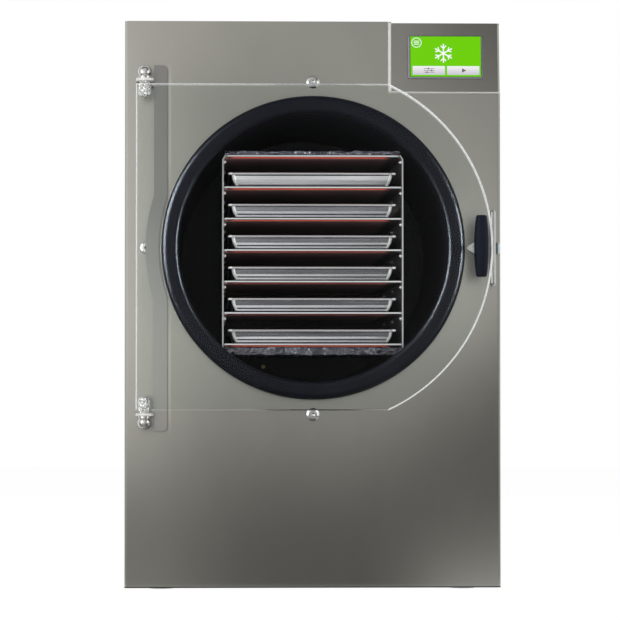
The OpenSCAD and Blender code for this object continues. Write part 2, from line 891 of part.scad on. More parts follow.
module hinge_plate() {
    color(STEEL) place() difference() {
        union() {
            translate([0, 0, chamber_z]) plate_xz(plate_front_y, plate_t) plate_outline();
            for (side = [0, 1])
                translate([0, 0, chamber_z]) mirror([0, 0, side]) {
                    plate_yz(-hinge_x - ear_r, 2 * ear_r) ear_section();
                    // the lug runs into the strip
                    translate([plate_out_x - WELD, plate_front_y, ear_half_gap + plate_t - 10])
                        cube([2 * WELD, plate_t, 10 - ear_fold_r]);
                    translate([-hinge_x, pin_y, ear_half_gap]) cylinder(r = ear_r, h = plate_t);
                }
        }
        both_hinges() translate([0, 0, ear_half_gap - CUT])
            cylinder(r = pin_r, h = plate_t + 2 * CUT);
        for (z = stud_z)
            along_y(stud_x(), plate_front_y - CUT, chamber_z + z)
                cylinder(r = stud_r, h = plate_t + 2 * CUT);
    }
}

// Studs ground flush with the plate's front, with a shoulder behind and a nut inside
module hinge_studs() {
    color(STEEL) place()
        for (z = stud_z) {
            along_y(stud_x(), plate_front_y, chamber_z + z)
                cylinder(r = stud_r, h = plate_t + plate_standoff + sheet_t + 8);
            along_y(stud_x(), plate_back_y, chamber_z + z)
                cylinder(r = stud_shoulder_r, h = plate_standoff);
            along_y(stud_x(), sheet_t, chamber_z + z)
                cylinder(r = stud_shoulder_r, h = 5, $fn = 6);
        }
}

module hinge_pins() {
    color(BRIGHT) place() both_hinges()
        translate([0, 0, door_half_h - pin_depth])
            cylinder(r = pin_r, h = ear_half_gap + plate_t + nut_bore - door_half_h + pin_depth);
}

module hinge_nuts() {
    hex_h = nut_h * 0.44;
    dome_r = nut_corners * 0.42;
    color(BRIGHT) place() both_hinges() translate([0, 0, ear_half_gap + plate_t])
        difference() {
            union() {
                cylinder(d = nut_corners, h = hex_h, $fn = 6);
                cylinder(r = dome_r, h = nut_h - dome_r);
                translate([0, 0, nut_h - dome_r]) sphere(dome_r);
            }
            translate([0, 0, -CUT]) cylinder(r = pin_r, h = nut_bore + CUT);
        }
}

// ---------------------------------------------------------------- latch

module latch_handle() {
    color(BLACK) place() translate([latch_x, 0, chamber_z]) difference() {
        union() {
            translate([0, handle_y, 0]) rotate_extrude() handle_profile();
            along_y(0, handle_y, 0) cylinder(r = handle_neck_r, h = door_front_y - 0.3 - handle_y);
        }
        along_y(0, door_front_y - handle_bore, 0) cylinder(r = spindle_r, h = handle_bore);
    }
}

// Half of the barrel's outline, from its axis outwards
module handle_profile() {
    f = handle_end_fillet;
    intersection() {
        translate([handle_r - handle_arc_r, 0]) circle(handle_arc_r, $fn = 360);
        union() {
            translate([0, -handle_len / 2 + f]) square([handle_r + CUT, handle_len - 2 * f]);
            for (side = [-1, 1])
                translate([0, side * (handle_len / 2 - f)]) {
                    translate([0, -f]) square([handle_end_r - f, 2 * f]);
                    intersection() {
                        translate([handle_end_r - f, 0]) circle(f);
                        translate([0, -f]) square([handle_r, 2 * f]);
                    }
                }
        }
    }
}

module latch_spindle() {
    thick = cam_front_y - (door_front_y - handle_bore);
    color(BRIGHT) place() {
        along_y(latch_x, door_front_y - handle_bore, chamber_z) cylinder(r = spindle_r, h = thick);
        along_y(latch_x, cam_front_y - WELD, chamber_z)
            cylinder(r = spindle_end_r, h = cam_t + WELD);
    }
}

module latch_cam() {
    nose_r = 3;
    tip = 3;
    color(BRIGHT) place() translate([latch_x, 0, chamber_z])
        plate_xz(cam_front_y, cam_t) difference() {
            union() {
                polygon([[-cam_tail, -tip / 2], [-cam_tail / 3, -cam_w / 2],
                         [cam_nose - nose_r, -cam_w / 2], [cam_nose - nose_r, cam_w / 2],
                         [-cam_tail / 3, cam_w / 2], [-cam_tail, tip / 2]]);
                translate([0, -cam_w / 2 + nose_r]) square([cam_nose, cam_w - 2 * nose_r]);
                for (side = [-1, 1])
                    translate([cam_nose - nose_r, side * (cam_w / 2 - nose_r)]) circle(nose_r);
            }
            circle(spindle_end_r);
        }
}

// A base strip with an upper and a lower rod; the cam's nose comes in between the rods
module latch_keeper() {
    leg_z = keeper_half_h - keeper_r;
    color(BRIGHT) place() translate([keeper_x, 0, chamber_z]) {
        plate_xz(-keeper_base_t, keeper_base_t)
            rotate(90) slot(2 * keeper_half_h, 2 * keeper_r);
        for (side = [-1, 1]) {
            translate([0, rod_y, side > 0 ? rod_gap : -leg_z])
                cylinder(r = keeper_r, h = leg_z - rod_gap);
            translate([0, rod_y, side * leg_z]) sphere(keeper_r);
            along_y(0, rod_y, side * leg_z) cylinder(r = keeper_r, h = -rod_y - keeper_base_t / 2);
        }
    }
}

// ---------------------------------------------------------------- cooling set

module compressor() {
    floor_z = pan_z + sheet_t;
    foot_h = 18;
    plate = [190, 140, 3];
    r = 35;
    body_h = compressor_h - foot_h;
    color(BLACK) place() translate([compressor_x, compressor_y, floor_z]) {
        translate([0, 0, foot_h]) rotate_extrude() {
            translate([0, r]) square([compressor_r, body_h - 2 * r]);
            square([compressor_r - r, body_h]);
            for (z = [r, body_h - r])
                intersection() {
                    translate([compressor_r - r, z]) circle(r);
                    square([compressor_r, body_h]);
                }
        }
        translate([-plate[0] / 2, -plate[1] / 2, foot_h - plate[2] + WELD]) cube(plate);
        for (x = [-1, 1], y = [-1, 1])
            translate([x * (plate[0] / 2 - 14), y * (plate[1] / 2 - 14), 0])
                cylinder(r = 11, h = foot_h - 1);
    }
}

module condenser() {
    floor_z = pan_z + sheet_t;
    h = fan_frame_w + 8;
    tube_r = 4;
    rows = 6;
    pitch = (h - 30) / (rows - 1);
    color(BRIGHT) place() translate([fan_x, condenser_y, floor_z]) {
        translate([-condenser_w / 2, 0, 0]) cube([condenser_w, condenser_d, h]);
        // return bends at both ends
        for (side = [-1, 1], row = [0:rows - 1])
            translate([side * condenser_w / 2, condenser_d / 2, 15 + row * pitch])
                rotate([0, 0, side * 90]) rotate([0, 0, 180])
                    rotate_extrude(angle = 180) translate([12, 0]) circle(tube_r);
    }
}

module fan_frame() {
    strut_w = 8;
    color(BLACK) place() translate([fan_x, fan_y, fan_z]) {
        difference() {
            plate_xz(0, fan_frame_d) round_rect(fan_frame_w, fan_frame_w, 8);
            along_y(0, -CUT, 0) cylinder(r = fan_hole_r, h = fan_frame_d + 2 * CUT);
            for (x = [-1, 1], z = [-1, 1])
                along_y(x * (fan_frame_w / 2 - 11), -CUT, z * (fan_frame_w / 2 - 11))
                    cylinder(r = 2.5, h = fan_frame_d + 2 * CUT);
        }
        along_y(0, 0, 0) cylinder(r = fan_boss_r, h = fan_boss_d);
        along_y(0, 0, 0) cylinder(r = fan_shaft_r, h = fan_frame_d - 3);
        for (a = [45, 135, 225, 315])
            rotate([0, a, 0]) translate([fan_boss_r - 2, 0, -strut_w / 2])
                cube([fan_hole_r - fan_boss_r + 3, 5, strut_w]);
    }
}

module fan_blades() {
    hub_d = fan_frame_d - fan_boss_d - 4;
    hub_y = fan_boss_d + 1;
    blade_t = 2;
    pitch_angle = 35;
    tip_r = fan_hole_r - 4;
    chord = 0.8 * hub_d / sin(pitch_angle);
    color(BLACK) place() translate([fan_x, fan_y, fan_z]) difference() {
        union() {
            along_y(0, hub_y, 0) cylinder(r = fan_boss_r, h = hub_d);
            intersection() {
                for (i = [0:blade_count - 1])
                    rotate([0, i * 360 / blade_count, 0])
                        translate([fan_boss_r - 3, hub_y + hub_d / 2, 0])
                            rotate([pitch_angle, 0, 0])
                                translate([0, -blade_t / 2, -chord / 2])
                                    cube([tip_r - fan_boss_r + 6, blade_t, chord]);
                along_y(0, hub_y, 0) cylinder(r = tip_r, h = hub_d);
            }
        }
        along_y(0, hub_y - CUT, 0)
            cylinder(r = fan_shaft_r + pin_clearance, h = hub_d + 2 * CUT);
    }
}

// Relays and power supply, hung under the top at the right
module control_box() {
    color(STEEL) place()
        translate([inner_x - box_size[0], 110, cab_h - sheet_t - 6 - box_size[2]]) {
            cube(box_size);
            // flange against the side panel and rails under the top
            for (y = [20, box_size[1] - 40])
                translate([20, y, box_size[2] - WELD]) cube([box_size[0] - 40, 20, 6 + WELD]);
        }
}

// ---------------------------------------------------------------- connections

module vacuum_fitting() {
    hex_h = 10;
    color([0.80, 0.65, 0.30]) place() difference() {
        union() {
            along_y(vacuum_x, cab_d, vacuum_z) cylinder(r = nipple_r + 6, h = hex_h, $fn = 6);
            along_y(vacuum_x, cab_d - sheet_t - 8, vacuum_z)
                cylinder(r = nipple_r, h = sheet_t + 8 + hex_h + nipple_len);
        }
        along_y(vacuum_x, cab_d - sheet_t - 8 - CUT, vacuum_z)
            cylinder(r = nipple_r - 3, h = cab_d);
    }
}

module drain_valve() {
    color([0.80, 0.65, 0.30]) place() translate([drain_x, cab_d, drain_z]) difference() {
        union() {
            along_y(0, 0, 0) cylinder(r = valve_r, h = valve_d);
            along_y(0, 0, 0) cylinder(r = stem_r, h = valve_d + lever_t + 4);
            along_y(0, valve_d + lever_t + 1, 0) cylinder(r = stem_r + 3, h = 3, $fn = 6);
            translate([0, valve_d / 2, -valve_r - 12]) cylinder(r = valve_r - 1, h = valve_r + 12);
            translate([0, valve_d / 2, -valve_r - 12 - spigot_len])
                cylinder(r = spigot_r, h = spigot_len + WELD);
        }
        translate([0, valve_d / 2, -valve_r - 12 - spigot_len - CUT])
            cylinder(r = drain_bore_r, h = spigot_len + 12 + valve_r + CUT);
        along_y(0, -CUT, 0) cylinder(r = drain_bore_r, h = valve_d / 2 + CUT);
    }
}

module drain_lever() {
    color([0.75, 0.12, 0.10]) place() translate([drain_x, 0, drain_z])
        plate_xz(cab_d + valve_d + 0.5, lever_t) difference() {
            union() {
                circle(lever_w * 0.6);
                translate([0, -lever_w / 2]) square([lever_len - lever_w / 2, lever_w]);
                translate([lever_len - lever_w / 2, 0]) circle(lever_w / 2);
            }
            circle(stem_r + pin_clearance);
        }
}

module power_inlet() {
    pins = [[-7, -2.5], [0, 3], [7, -2.5]];
    color(BLACK) place() translate([inlet_x, cab_d, inlet_z]) {
        difference() {
            union() {
                plate_xz(0, inlet_flange_t) round_rect(inlet_w, inlet_h, 4);
                plate_xz(-inlet_body_d, inlet_body_d + WELD)
                    round_rect(inlet_w - 8, inlet_h - 8, 2);
            }
            translate([socket_dx - socket_size[0] / 2, inlet_flange_t - socket_size[1],
                       -socket_size[2] / 2])
                cube([socket_size[0], socket_size[1] + CUT, socket_size[2]]);
            translate([rocker_dx, 0, 0]) rocker_slot();
        }
        for (p = pins)
            translate([socket_dx + p[0] - 1, inlet_flange_t - socket_size[1] - WELD, p[1] - 2])
                cube([2, 9, 4]);
    }
}

// Room for the rocker, and the holes for its pivot
module rocker_slot() {
    gap = 0.4;
    translate([-rocker_w / 2 - gap, -rocker_slot_r - 1, -rocker_slot_r])
        cube([rocker_w + 2 * gap, rocker_slot_r + 1 + inlet_flange_t + CUT, 2 * rocker_slot_r]);
    translate([-rocker_w / 2 - 2, 0, 0]) rotate([0, 90, 0])
        cylinder(r = rocker_pin_r + pin_clearance, h = rocker_w + 4);
}

module switch_rocker() {
    half = rocker_r * 0.9;
    color(BLACK) place() translate([inlet_x + rocker_dx, cab_d, inlet_z]) {
        plate_yz(-rocker_w / 2, rocker_w) intersection() {
            circle(rocker_r);
            polygon([[-4, -half], [3, -half], [3, 0], [5.4, half], [-4, half]]);
        }
        translate([-rocker_w / 2 - 1.5, 0, 0]) rotate([0, 90, 0])
            cylinder(r = rocker_pin_r, h = rocker_w + 3);
    }
}

// ---------------------------------------------------------------- the whole object

front_panel();
control_panel();
touch_display();
side_panel_left();
side_panel_right();
top_panel();
back_panel();
base_pan();
feet();
chamber();
chamber_gasket();
chamber_bolts();
evaporator_coil();
chamber_insulation();
chamber_cradle();
rack_side_left();
rack_side_right();
rack_screws();
foil_top();
foil_bottom();
for (i = [1:shelf_count]) shelf(i);
for (i = [1:shelf_count]) heater(i);
for (i = [1:tray_count]) tray(i);
hinge_plate();
hinge_studs();
hinge_pins();
hinge_nuts();
door();
door_bushes();
latch_handle();
latch_spindle();
latch_cam();
latch_keeper();
compressor();
condenser();
fan_frame();
fan_blades();
control_box();
vacuum_fitting();
drain_valve();
drain_lever();
power_inlet();
switch_rocker();
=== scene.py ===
"""Looks of the freeze dryer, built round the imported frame. Metres; -Y is the front."""

import math

import bmesh
import bpy
from mathutils import Matrix, Vector, noise


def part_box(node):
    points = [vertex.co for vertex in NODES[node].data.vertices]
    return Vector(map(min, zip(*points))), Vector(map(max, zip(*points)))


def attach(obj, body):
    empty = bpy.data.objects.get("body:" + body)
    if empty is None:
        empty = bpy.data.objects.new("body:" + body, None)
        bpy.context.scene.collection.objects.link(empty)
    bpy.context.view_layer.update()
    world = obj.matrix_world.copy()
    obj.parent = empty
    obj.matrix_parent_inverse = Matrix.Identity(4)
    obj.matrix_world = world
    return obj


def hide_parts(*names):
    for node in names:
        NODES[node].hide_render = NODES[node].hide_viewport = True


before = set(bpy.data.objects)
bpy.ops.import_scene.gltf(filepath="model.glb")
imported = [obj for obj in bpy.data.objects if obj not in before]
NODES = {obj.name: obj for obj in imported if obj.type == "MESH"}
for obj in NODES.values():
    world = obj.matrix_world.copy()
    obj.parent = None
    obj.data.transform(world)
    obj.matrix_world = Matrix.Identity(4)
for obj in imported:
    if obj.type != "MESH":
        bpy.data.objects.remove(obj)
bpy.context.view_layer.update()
MM = 0.001

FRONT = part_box("front_panel")[0].y
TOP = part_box("front_panel")[1].z
RING_LOW, RING_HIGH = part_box("chamber_gasket")
AXIS_Z = (RING_LOW.z + RING_HIGH.z) / 2
DOOR_LOW, DOOR_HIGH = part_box("door")
# the control panel stands in a notch of the front: its left side, its foot and how it leans back
NOTCH_X = 108 * MM
NOTCH_H = 96 * MM
NOTCH_Z = TOP - NOTCH_H
PANEL_STEP = 4 * MM
PANEL_TILT = math.atan2(17 * MM - PANEL_STEP, NOTCH_H)
PLATE_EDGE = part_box("hinge_plate")[1].x
TRAYS = [f"tray_{i}" for i in range(1, 7)]
SHELVES = [f"shelf_{i}" for i in range(1, 8)]
HEATERS = [f"heater_{i}" for i in range(1, 8)]
RACK_CHAMFER = 4 * MM


# ------------------------------------------------------------------ materials


def linear(r, g, b):
    """A colour written in 0..255 as the shader's linear RGBA."""
    out = []
    for c in (r, g, b):
        c = c / 255
        out.append(c / 12.92 if c <= 0.04045 else ((c + 0.055) / 1.055) ** 2.4)
    return (*out, 1.0)


def rgb(r, g, b):
    """A linear colour with its alpha."""
    return (r, g, b, 1.0)


def shade(color, k):
    return rgb(*(c * k for c in color[:3]))


class Nodes:
    """A cleared node tree with short ways to add to it."""

    def __init__(self, owner, output):
        owner.use_nodes = True
        self.tree = owner.node_tree
        self.tree.nodes.clear()
        self.out = self.node(output)

    def node(self, kind, **props):
        n = self.tree.nodes.new(kind)
        for k, v in props.items():
            setattr(n, k, v)
        return n

    def feed(self, value, socket):
        """Joins an output to a socket, or sets the socket to a plain value."""
        if isinstance(value, bpy.types.NodeSocket):
            self.tree.links.new(value, socket)
        else:
            socket.default_value = value

    def show(self, shader):
        self.feed(shader, self.out.inputs["Surface"])

    def calc(self, operation, a, b=0.5):
        n = self.node("ShaderNodeMath", operation=operation)
        self.feed(a, n.inputs[0])
        self.feed(b, n.inputs[1])
        return n.outputs[0]

    def rays(self, *kinds):
        """1 for a ray of any of the kinds, else 0."""
        path = self.node("ShaderNodeLightPath")
        fac = 0.0
        for kind in kinds:
            fac = self.calc("MAXIMUM", fac, path.outputs[f"Is {kind} Ray"])
        return fac

    def blend(self, fac, a, b):
        """Shader a where fac is 0 and b where it is 1."""
        n = self.node("ShaderNodeMixShader")
        for value, socket in zip((fac, a, b), n.inputs):
            self.feed(value, socket)
        return n.outputs[0]


class Look(Nodes):
    """A Principled material with procedural detail, in object coordinates.

    They are the row frame's at rest. A texture is written as a tuple of noise's values, or as the
    scale of a cell pattern.
    """

    def __init__(self, name, color, rough=0.5, metal=0.0):
        self.mat = bpy.data.materials.new(name)
        super().__init__(self.mat, "ShaderNodeOutputMaterial")
        self.bsdf = self.node("ShaderNodeBsdfPrincipled")
        self.show(self.bsdf.outputs[0])
        self.set("Base Color", color)
        self.set("Roughness", rough)
        self.set("Metallic", metal)

    def set(self, name, value):
        self.feed(value, self.bsdf.inputs[name])

    def place(self, stretch=(1, 1, 1)):
        c = self.node("ShaderNodeTexCoord")
        m = self.node("ShaderNodeMapping")
        m.inputs["Scale"].default_value = stretch
        self.feed(c.outputs["Object"], m.inputs["Vector"])
        return m.outputs["Vector"]

    def axis(self, letter):
        part = self.node("ShaderNodeSeparateXYZ")
        self.feed(self.place(), part.inputs[0])
        return part.outputs[letter]

    def texture(self, of):
        return self.noise(*of) if isinstance(of, tuple) else self.cells(of)

    def noise(self, scale, detail=3.0, stretch=(1, 1, 1), rough=0.5, twist=0.0):
        n = self.node("ShaderNodeTexNoise")
        values = {"Scale": scale, "Detail": detail, "Roughness": rough, "Distortion": twist}
        for name, value in values.items():
            n.inputs[name].default_value = value
        self.feed(self.place(stretch), n.inputs["Vector"])
        return n.outputs["Fac"]

    def cells(self, scale):
        n = self.node("ShaderNodeTexVoronoi")
        n.inputs["Scale"].default_value = scale
        self.feed(self.place(), n.inputs["Vector"])
        return n.outputs["Distance"]

    def ramp(self, fac, *stops):
        r = self.node("ShaderNodeValToRGB")
        e = r.color_ramp.elements
        while len(e) < len(stops):
            e.new(0.5)
        for item, (at, color) in zip(e, stops):
            item.position = at
            item.color = color
        self.feed(fac, r.inputs["Fac"])
        return r.outputs["Color"]

    def span(self, fac, low, high, a=0.3, b=0.7):
        """From low where fac is a to high where it is b."""
        m = self.node("ShaderNodeMapRange")
        for name, value in (("From Min", a), ("From Max", b), ("To Min", low), ("To Max", high)):
            m.inputs[name].default_value = value
        self.feed(fac, m.inputs["Value"])
        return m.outputs["Result"]

    def mix(self, fac, a, b):
        """Colour a where fac is 0 and b where it is 1."""
        n = self.node("ShaderNodeMix", data_type="RGBA")
        for value, socket in ((fac, n.inputs["Factor"]), (a, n.inputs[6]), (b, n.inputs[7])):
            self.feed(value, socket)
        return n.outputs[2]

    def tint(self, of, dark, light, a=0.3, b=0.7):
        self.set("Base Color", self.ramp(self.texture(of), (a, dark), (b, light)))

    def wear(self, of, low, high, a=0.3, b=0.7):
        self.set("Roughness", self.span(self.texture(of), low, high, a, b))

    def grain(self, of, strength, depth):
        n = self.node("ShaderNodeBump")
        n.inputs["Strength"].default_value = strength
        n.inputs["Distance"].default_value = depth
        self.feed(self.texture(of), n.inputs["Height"])
        self.set("Normal", n.outputs["Normal"])


M = {}


def finish(key, name, color, rough, metal=0.0, specular=0.5, tint=None, wear=None, grain=None):
    """A finish whose colour, roughness and surface each follow a texture."""
    m = Look(name, color, rough, metal)
    m.set("Specular IOR Level", specular)
    if tint:
        m.tint(*tint)
    if wear:
        m.wear(*wear)
    if grain:
        m.grain(*grain)
    M[key] = m.mat


STAINLESS = rgb(0.505, 0.494, 0.446)
BRUSHED = (900, 2, (1, 1, 0.012), 0.6)
MOTTLED = (9, 4, (1.6, 1.6, 0.8), 0.55, 0.4)
MOTTLE = (shade(STAINLESS, 0.97), shade(STAINLESS, 1.03))
DRAWN = (420, 2, (0.02, 1, 1))
ALONG = (700, 2, (1, 0.02, 1))

finish("stainless", "brushed_stainless", STAINLESS, 0.30, 1.0, tint=(MOTTLED, *MOTTLE),
       wear=(BRUSHED, 0.28, 0.32), grain=(BRUSHED, 0.10, 0.00004))
finish("galvanised", "galvanised_sheet", rgb(0.55, 0.56, 0.57), 0.45, 1.0,
       tint=(90, rgb(0.46, 0.47, 0.48), rgb(0.62, 0.63, 0.64), 0.0, 0.6), wear=(90, 0.35, 0.55, 0.0, 0.6))
finish("chamber_black", "chamber_black", rgb(0.004, 0.004, 0.005), 0.42, specular=0.10,
       tint=((160, 4), rgb(0.019, 0.018, 0.026), rgb(0.030, 0.028, 0.037)),
       wear=((160, 4), 0.36, 0.50), grain=((160, 4), 0.12, 0.0003))
finish("gasket_rubber", "gasket_rubber", rgb(0.0025, 0.0025, 0.004), 0.24, specular=0.13,
       tint=((30,), rgb(0.0015, 0.0020, 0.0050), rgb(0.0024, 0.0030, 0.0075)),
       wear=((420,), 0.27, 0.33), grain=((420,), 0.01, 0.0001))
finish("foot_rubber", "foot_rubber", rgb(0.75, 0.75, 0.74), 0.7,
       wear=((60,), 0.6, 0.8), grain=((700,), 0.3, 0.0004))
finish("chrome", "bright_chrome", rgb(0.64, 0.64, 0.62), 0.14, 1.0,
       tint=((90,), rgb(0.60, 0.60, 0.58), rgb(0.68, 0.68, 0.66)), wear=((120, 4), 0.10, 0.18))
finish("bush_chrome", "bush_chrome", rgb(0.80, 0.80, 0.78), 0.22, 0.8,
       tint=(300, rgb(0.50, 0.50, 0.48), rgb(0.92, 0.92, 0.90), 0.1, 0.6), grain=(300, 1.0, 0.0018))
finish("zinc", "zinc_plate", rgb(0.92, 0.92, 0.94), 0.4, 1.0, wear=((300,), 0.34, 0.5))
finish("rack_metal", "rack_metal", rgb(0.90, 0.90, 0.90), 0.30, 0.85,
       tint=((14, 4), rgb(0.84, 0.84, 0.85), rgb(0.94, 0.94, 0.94)),
       wear=(ALONG, 0.28, 0.34), grain=(ALONG, 0.03, 0.00005))
finish("tray_steel", "tray_steel", rgb(0.95, 0.94, 0.96), 0.20, 1.0,
       tint=((22, 4, (0.5, 1, 1)), rgb(0.93, 0.92, 0.95), rgb(0.98, 0.97, 0.98)),
       wear=(DRAWN, 0.17, 0.24), grain=(DRAWN, 0.02, 0.00008))
# painted shade: a dark finish for the grooves under the rim and near the foot
finish("tray_groove_painted_shade", "tray_groove_painted_shade", rgb(0.16, 0.15, 0.17), 0.5, 1.0,
       tint=((40,), rgb(0.08, 0.07, 0.09), rgb(0.15, 0.14, 0.16)))
# painted shade: a darker copy of the tray steel for the wall
finish("tray_wall", "tray_wall", rgb(0.52, 0.51, 0.54), 0.24, 1.0,
       tint=((22, 4, (0.5, 1, 1)), rgb(0.46, 0.45, 0.48), rgb(0.56, 0.55, 0.58)), wear=(DRAWN, 0.20, 0.28))
# painted highlight: a pale, less metallic copy of the tray steel for the front corners
finish("tray_corner_painted_highlight", "tray_corner_painted_highlight", rgb(0.95, 0.95, 0.96), 0.25, 0.2,
       tint=((60,), rgb(0.92, 0.92, 0.93), rgb(0.99, 0.99, 1.0)), wear=((200,), 0.20, 0.30))
finish("foil", "kitchen_foil", rgb(0.40, 0.39, 0.44), 0.26, 1.0,
       tint=((60, 4), rgb(0.04, 0.038, 0.052), rgb(0.25, 0.24, 0.28)),
       wear=((200, 4), 0.12, 0.30), grain=(260, 0.8, 0.0009))
finish("handle_black", "handle_black", rgb(0.007, 0.009, 0.018), 0.36, specular=0.16,
       wear=((70,), 0.30, 0.42), grain=((900,), 0.10, 0.0002))
finish("copper", "copper_tube", rgb(0.86, 0.46, 0.30), 0.28, 1.0,
       tint=((50, 4), rgb(0.62, 0.33, 0.22), rgb(0.90, 0.50, 0.34)))
finish("foam", "foam", linear(226, 208, 150), 0.9,
       tint=((60, 5), linear(206, 186, 126), linear(236, 220, 168)), grain=((300, 4), 0.6, 0.002))
finish("compressor_black", "compressor_black", rgb(0.02, 0.02, 0.02), 0.3, grain=((500,), 0.1, 0.0003))
finish("fan_plastic", "fan_plastic", rgb(0.022, 0.022, 0.024), 0.42, grain=((800,), 0.15, 0.0003))
finish("brass", "brass", rgb(0.80, 0.60, 0.28), 0.24, 1.0,
       tint=((80, 4), rgb(0.66, 0.47, 0.20), rgb(0.84, 0.65, 0.33)), wear=((200,), 0.18, 0.34))
finish("lever_red", "lever_red", linear(176, 28, 24), 0.4,
       tint=((60,), linear(160, 22, 20), linear(188, 34, 28)), grain=((500,), 0.1, 0.0003))
finish("inlet_plastic", "inlet_plastic", rgb(0.02, 0.02, 0.021), 0.45, grain=((900,), 0.2, 0.0003))
finish("rocker_plastic", "rocker_plastic", rgb(0.03, 0.03, 0.03), 0.3, grain=((900,), 0.1, 0.0002))
finish("display_line", "display_line", rgb(0.030, 0.026, 0.048), 0.3,
       wear=((80,), 0.26, 0.36), grain=((900,), 0.08, 0.0002))
finish("display_frame", "display_frame", rgb(0.30, 0.30, 0.31), 0.35, 0.3,
       wear=((80,), 0.30, 0.42), grain=((900,), 0.08, 0.0002))


def front_look():
    """The front's brushed sheet. Its folded hem and the ledge round the control panel are painted paler
    and less metallic, as a highlight; beside the hinge strip lies a soft warm painted reflection of the
    plate's edge, and a dark painted shade line runs along its foot.
    """
    m = Look("front_stainless_painted_light", STAINLESS, 0.30, 1.0)
    x, z = m.axis("X"), m.axis("Z")

    def both(a, b):
        return m.calc("MULTIPLY", a, b)

    # painted highlight: the hem beside the notch and the ledge under the control panel are painted pale
    above = m.span(z, 0, 1, NOTCH_Z - 4 * MM, NOTCH_Z)
    hem = both(m.span(x, 0, 1, NOTCH_X - 5.0 * MM, NOTCH_X - 4.2 * MM), above)
    ledge = both(m.span(z, 0, 1, NOTCH_Z - 2.6 * MM, NOTCH_Z - 1.4 * MM),
                 m.span(x, 0, 0.38, NOTCH_X, NOTCH_X + MM))
    pale = m.calc("MAXIMUM", hem, ledge)
    # painted reflection: a warm band on the sheet beside the hinge plate's edge, weak near the axis and
    # ending above and below
    glow = both(m.span(x, 0, 1, PLATE_EDGE, PLATE_EDGE + 0.5 * MM),
                m.span(x, 1, 0, PLATE_EDGE + 3 * MM, PLATE_EDGE + 6 * MM))
    off = m.calc("ABSOLUTE", m.span(z, -1, 1, AXIS_Z - 1, AXIS_Z + 1))
    glow = both(glow, m.span(off, 0, 0.45, 50 * MM, 120 * MM))
    glow = both(glow, m.span(off, 1, 0, 235 * MM, 255 * MM))
    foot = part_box("front_panel")[0].z
    color = m.ramp(m.noise(*MOTTLED), (0.3, MOTTLE[0]), (0.7, MOTTLE[1]))
    color = m.mix(pale, color, rgb(0.80, 0.80, 0.77))
    color = m.mix(glow, color, rgb(0.92, 0.88, 0.72))
    # painted shade: a dark line along the sheet's foot
    color = m.mix(m.span(z, 1, 0, foot + 1.2 * MM, foot + 2.2 * MM), color, rgb(0.06, 0.06, 0.055))
    m.set("Base Color", color)
    # the painted highlight is made less metallic, so that it takes diffuse light
    m.set("Metallic", m.span(pale, 1.0, 0.3, 0, 1))
    m.wear(BRUSHED, 0.28, 0.32)
    m.grain(BRUSHED, 0.10, 0.00004)
    M["front"] = m.mat


def hinge_look():
    """The strip is brushed like the front, with painted shade that darkens it above; its ears, further
    out, are smoother, and painted pale and less metallic as a highlight.
    """
    m = Look("hinge_stainless_painted_light", rgb(0.395, 0.388, 0.37), 0.30, 1.0)
    out = m.span(m.axis("Y"), 0, 1, FRONT - 13 * MM, FRONT - 16 * MM)
    rise = m.span(m.axis("Z"), 0, 1, AXIS_Z - 200 * MM, AXIS_Z + 60 * MM)
    # painted shade: the strip is lighter low down and darker above
    strip = m.ramp(rise, (0.0, rgb(0.480, 0.472, 0.440)), (0.46, rgb(0.435, 0.428, 0.405)),
                   (1.0, rgb(0.325, 0.320, 0.305)))
    # painted highlight: the ears are pale and less metallic
    m.set("Base Color", m.mix(out, strip, rgb(0.86, 0.85, 0.82)))
    m.set("Roughness", m.span(out, 0.30, 0.22, 0, 1))
    m.set("Metallic", m.span(out, 1.0, 0.3, 0, 1))
    m.grain(BRUSHED, 0.10, 0.00004)
    M["hinge_steel"] = m.mat


def cam_look():
    """The cam's colour is painted light and shade along it: a painted highlight on the tail, its body
    painted dark, a darker painted band before the nose, and a painted highlight on the nose.
    """
    m = Look("cam_chrome_painted_light", rgb(0.8, 0.8, 0.8), 0.3, 0.5)
    along = m.span(m.axis("X"), 0, 1, 210 * MM, 256 * MM)
    # painted light and shade in bands along the cam
    m.set("Base Color", m.ramp(along, (0.12, rgb(0.86, 0.88, 0.86)), (0.3, rgb(0.34, 0.37, 0.36)),
                               (0.88, rgb(0.08, 0.12, 0.14)), (0.93, rgb(0.10, 0.14, 0.16)),
                               (0.97, rgb(0.80, 0.84, 0.84))))
    m.wear((150,), 0.25, 0.35)
    M["cam_chrome_painted_light"] = m.mat


